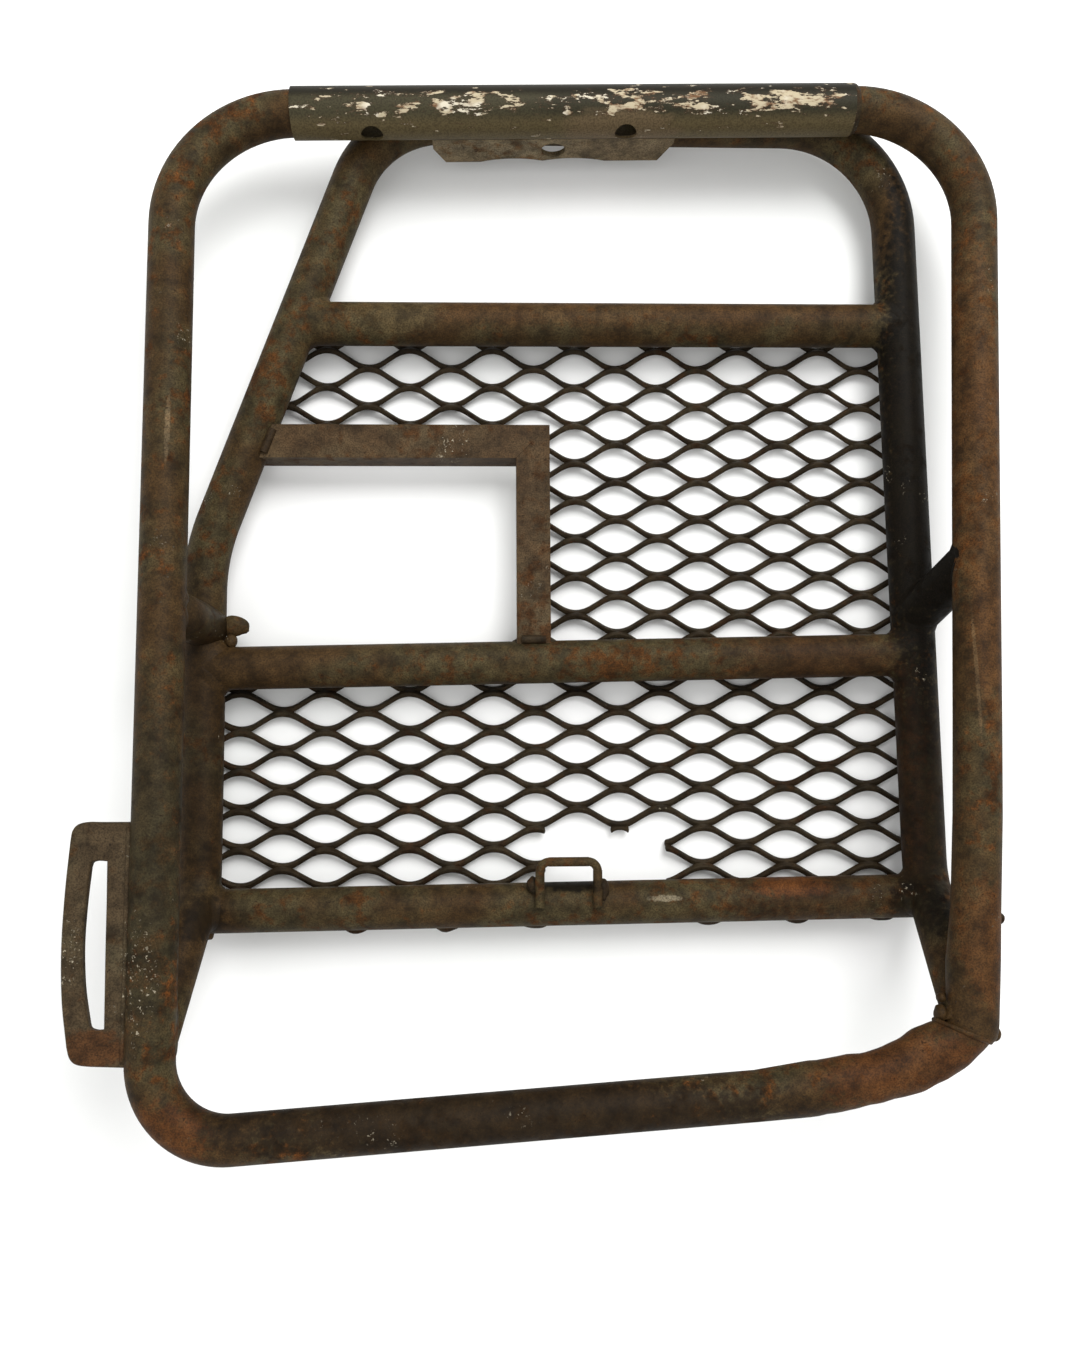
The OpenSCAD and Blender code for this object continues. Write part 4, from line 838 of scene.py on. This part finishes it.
def saddle_bead(stretches, foot, towards, leg, seed, floor=None):
    """Fillet round a branch tube from foot, on the main's axis, towards its other end. For each
    angle round the branch, the last crossing of its wall with the main's surface is the joint j.
    The face is b(s) = (1 - s)^2 p + 2 s (1 - s) (j + h n) + s^2 q between the toes p and q."""
    foot, rng = np.array(foot, float), np.random.default_rng(seed)
    axis = unit(np.array(towards, float) - foot)
    side = unit(np.cross(axis, np.eye(3)[np.argmin(np.abs(axis))]))
    phi = np.linspace(0, 2 * np.pi, 160, endpoint=False)
    out = np.cos(phi)[:, None] * side + np.sin(phi)[:, None] * np.cross(axis, side)
    joint = saddle_joint(stretches, foot, axis, out)
    normal = tube_normal(joint, stretches)
    run = out - axis
    run = unit(run - (run * normal).sum(-1, keepdims=True) * normal)
    wander = sum(np.sin(k * phi + rng.uniform(0, 6.3)) / k for k in (2, 3, 5, 9))
    leg_here = (leg * (1 + 0.10 * wander))[:, None]
    toe_on_branch = joint + leg_here * axis - TOE_SUNK * out
    toe_on_main = joint + leg_here * run
    for _ in range(2):
        sunk = tube_gap(toe_on_main, stretches) + TOE_SUNK
        toe_on_main = toe_on_main - sunk[:, None] * tube_normal(toe_on_main, stretches)
    lift = unit(out + normal)
    peak = joint + (0.3 * leg + 0.05 * np.sin(30 * phi + wander))[:, None] * lift
    s = np.linspace(0, 1, 9)[None, :, None]
    face = ((1 - s) ** 2 * toe_on_branch[:, None] + 2 * s * (1 - s) * peak[:, None]
            + s ** 2 * toe_on_main[:, None])
    rings = np.concatenate((face, (joint - 1.5 * lift)[:, None]), axis=1)
    if floor is not None:
        rings[..., 2] = np.maximum(rings[..., 2], floor)
    return skin(rings * MM, closed=True)


def weld_blob(centre, half, seed):
    """A lump of weld: c + h (1 + 0.2 f(d)) d over the directions d(u, v) of a sphere, where f
    is the mean of a few seeded waves."""
    rng = np.random.default_rng(seed)
    u, v = np.linspace(0, 2 * np.pi, 28, endpoint=False), np.linspace(0.1, np.pi - 0.1, 18)[:, None]
    ways = np.stack((np.sin(v) * np.cos(u), np.sin(v) * np.sin(u), np.cos(v) + 0 * u), axis=-1)
    waves, starts = rng.normal(0, 2.6, (6, 3)), rng.uniform(0, 6.3, 6)
    lumps = np.sin(ways @ waves.T + starts).mean(axis=-1, keepdims=True)
    return skin((np.array(centre) + np.array(half) * ways * (1 + 0.2 * lumps)) * MM)


level_tube = np.array([[(-50.0, 0.0, 0.0), (50.0, 0.0, 0.0)]])
print("gap from a point 20 mm off a tube's axis, mm:",
      tube_gap(np.array((0.0, 20.0, 0.0)), level_tube).round(2))

# %% [markdown]
# The joints follow from the frame's own lines. Each crossbar ends on a leg, so each joint
# is a main path, a point on it and where the branch goes. The knees already rise where
# the lower crossbar meets the legs, so that bar is drawn again with ends that are coped
# to the rising tubes, and a lump of weld sits beside its left end.

# %% Fillets on the crossbars
MESH_TOP, BAR_FILLET = 8.3, 4.2
LEFT_LEG = stretches_of(bent_line([SLANT_FOOT, LEFT_KNEE, LEFT_FOOT], [KNEE_BEND], 12))
RIGHT_LEG = stretches_of(bent_line([FRAME_TR, RIGHT_KNEE, RIGHT_FOOT], [KNEE_BEND], 12))
SLANT_LEG = stretches_of(np.array([SLANT_FOOT, FRAME_TL]))
BAR_ENDS = {
    "upper_bar": (SLANT_LEG, (-153.88, 163.39, FRAME_Z), (211.80, 164.03, FRAME_Z)),
    "middle_bar": (LEFT_LEG, (-206.754, -44.67, FRAME_Z), (216.69, -37.65, FRAME_Z)),
    "lower_bar": (LEFT_LEG, (-208.6, -186.54, FRAME_Z), (219.4, -181.54, FRAME_Z)),
}
BAR_LUMPS = {"lower_bar": [weld_blob((-203.4, -199.4, 19.0), (3.8, 4.4, 4.2), 15)]}
for seed, (bar, (left_main, left, right)) in enumerate(BAR_ENDS.items()):
    beads = [saddle_bead(left_main, left, right, BAR_FILLET, seed, MESH_TOP),
             saddle_bead(RIGHT_LEG, right, left, BAR_FILLET, seed + 10, MESH_TOP)]
    beads += BAR_LUMPS.get(bar, [])
    piece_from(bar + "_fillets", beads, frame_finish, [bar + "_welds"])
lower_main, lower_left, lower_right = BAR_ENDS["lower_bar"]
piece_from("lower_bar_tube", [coped_tube(lower_main, lower_left, RIGHT_LEG, lower_right)], frame_finish,
           ["lower_crossbar"])

# %% [markdown]
# A strut on either side ties the frame's leg to the hoop over it. It is a short piece of
# the same tube. The left one's lower end shows inside the leg as a flattened lip with a
# lump of weld beside it, so that strut is drawn again. Where the frame's feet land on the
# hoop, the same kind of fillet runs round each foot.

# %% Struts and feet
STRUT_FILLET, FOOT_FILLET = 3.4, 4.0
LEFT_HEAD, RIGHT_HEAD = (-215.45, -14.53, 74.76), (234.32, 13.47, 72.23)
LEFT_SOLE, RIGHT_SOLE = (-204.75, -20.5, FRAME_Z), (216.18, -16.53, FRAME_Z)
LEG_BEND, HOOP_BR = (226.0, -130.0, 85.3), (217.5, -238.0, 95.1)
BAR_CORNER, HOOP_KINK = (196.0, -252.0, 96.4), (146.75, -269.65, 97.98)
HOOP_LEFT = stretches_of(bent_line([HOOP_TL, HOOP_BL, HOOP_KINK], LEFT_BENDS[1:], 12))
HOOP_RIGHT = stretches_of(np.array([HOOP_TR, LEG_BEND, HOOP_BR, BAR_CORNER, HOOP_KINK]))
strut_beads = [saddle_bead(HOOP_LEFT, LEFT_HEAD, LEFT_SOLE, STRUT_FILLET, 21),
               saddle_bead(HOOP_RIGHT, RIGHT_HEAD, RIGHT_SOLE, STRUT_FILLET, 22),
               saddle_bead(RIGHT_LEG, RIGHT_SOLE, RIGHT_HEAD, STRUT_FILLET, 23),
               weld_blob((-191.0, -28.6, 22.0), (3.6, 4.6, 3.6), 24)]
piece_from("strut_fillets", strut_beads, frame_finish, ["strut_welds"])
strut_skins = [skin(tube_rings(np.array([LEFT_SOLE, LEFT_HEAD])) * MM),
               weld_blob((-190.4, -19.4, 22.0), (9.4, 6.2, 3.4), 26)]
piece_from("left_strut_tube", strut_skins, frame_finish, ["left_strut"])
foot_beads = [saddle_bead(HOOP_LEFT, LEFT_FOOT, LEFT_KNEE, FOOT_FILLET, 31),
              saddle_bead(HOOP_RIGHT, RIGHT_FOOT, RIGHT_KNEE, FOOT_FILLET, 32)]
piece_from("foot_fillets", foot_beads, hoop_finish, ["leg_foot_welds"])

# %% [markdown]
# Some welds are only lumps: six wide tacks that hold the sheet's last row under the lower
# bar, and a dab at each leg of the little lock staple. A lump is a sphere whose radius
# swells and shrinks with a few waves, so no two are alike.

# %% Tacks and dabs
TACK_X, TACK_STEP, TACK_Y, TACK_RISE = 13.7, 26.3, -193.6, 0.0117
TACK_HALF, TACK_LIFT = (10.2, 6.6, 3.0), 1.2
tacks = []
for k in (-5, -3, -1, 3, 5, 7):
    tack_at = (TACK_X + TACK_STEP * k, TACK_Y + TACK_RISE * TACK_STEP * k, MESH_TOP + TACK_LIFT)
    tacks.append(weld_blob(tack_at, TACK_HALF, 40 + k))
piece_from("mesh_tacks", tacks, weld_finish, ["mesh_tack_welds"])
dabs = [weld_blob((-13.8, -171.8, 31.2), (3.8, 5.0, 3.6), 61),
        weld_blob((27.0, -174.6, 31.6), (3.2, 6.8, 3.8), 63)]
piece_from("staple_dabs", dabs, weld_finish, ["staple_welds"])

# %% [markdown]
# The bottom bar's beaten end meets the right leg along a slanting seam. An uneven bead
# runs over it from one side of the tube to the other, so its path is a little more than
# half of the bar's last section, lifted off the surface. Lumps sit at both ends of it,
# and one more nub of weld sits on the leg's outer side.

# %% Corner seam and nub
SEAM_LAP, SEAM_LIFT, SEAM_R = 0.35, 1.01, 1.3
seam_turn = np.linspace(-SEAM_LAP, np.pi + SEAM_LAP, 40)[:, None]
last_ring = bar_end[-1]
seam_middle, seam_half = last_ring.mean(axis=0), (last_ring[0] - last_ring[len(last_ring) // 2]) / 2
seam_way = np.cos(seam_turn) * seam_half + np.sin(seam_turn) * TUBE_R * HOOP_NORMAL
seam_beads = [skin(dented(tube_rings(seam_middle + SEAM_LIFT * seam_way, SEAM_R, 12), 0.6, 5) * MM),
              weld_blob((226.6, -243.6, 95.6), (2.8, 4.0, 4.2), 71),
              weld_blob((198.2, -232.6, 95.0), (3.0, 4.6, 5.0), 72),
              weld_blob((199.6, -225.0, 93.0), (2.4, 2.6, 3.0), 73)]
piece_from("corner_bead", seam_beads, hoop_finish, ["hoop_corner_weld"])
nub = weld_blob((233.0, -184.2, 90.4), (2.8, 3.4, 3.2), 81)
piece_from("leg_nub", [nub], weld_finish, ["leg_weld_nub"])

# %% [markdown]
# ## Table and light
# The guard lies on a white table under a broad lamp. A large area light gives the soft
# shadow under each bar, and an even white surround keeps the shaded sides readable.

# %% Table and lamps
TABLE_HALF, TABLE_Z = 3.0, -0.0003
table_mesh = bpy.data.meshes.new("table_top")
corners = np.array(((-1, -1), (1, -1), (1, 1), (-1, 1))) * TABLE_HALF
table_mesh.from_pydata([(x, y, TABLE_Z) for x, y in corners.tolist()], [], [(0, 1, 2, 3)])
table_top = bpy.data.objects.new("table_top", table_mesh)
bpy.context.scene.collection.objects.link(table_top)
table_finish, tree, shader, coords = new_finish("white_table")
wear = soft_step(tree, noise(tree, coords, 6.0, 5.0), 0.3, 0.7)
feed(tree, shader.inputs["Base Color"], mixed(tree, wear, srgb(239, 240, 238), srgb(244, 244, 243)))
shader.inputs["Roughness"].default_value = 0.7
table_mesh.materials.append(table_finish)

LAMPS = {"top_lamp": ((0.55, 1.05, 1.65), 1.2, 36.0), "side_lamp": ((-0.9, -0.5, 1.5), 1.6, 4.0)}
for name, (place, size, power) in LAMPS.items():
    lamp_data = bpy.data.lights.new(name, "AREA")
    lamp_data.size = size
    lamp_data.energy = power
    lamp = bpy.data.objects.new(name, lamp_data)
    turned = Vector(place).to_track_quat("Z", "Y").to_matrix().to_4x4()
    lamp.matrix_world = Matrix.Translation(place) @ turned
    bpy.context.scene.collection.objects.link(lamp)

surround = bpy.data.worlds.new("white_surround")
surround.use_nodes = True
surround.node_tree.nodes["Background"].inputs["Color"].default_value = (1.0, 1.0, 1.0, 1.0)
surround.node_tree.nodes["Background"].inputs["Strength"].default_value = 0.92
bpy.context.scene.world = surround
bpy.context.scene.view_settings.view_transform = "Standard"
print("lamps:", list(LAMPS))
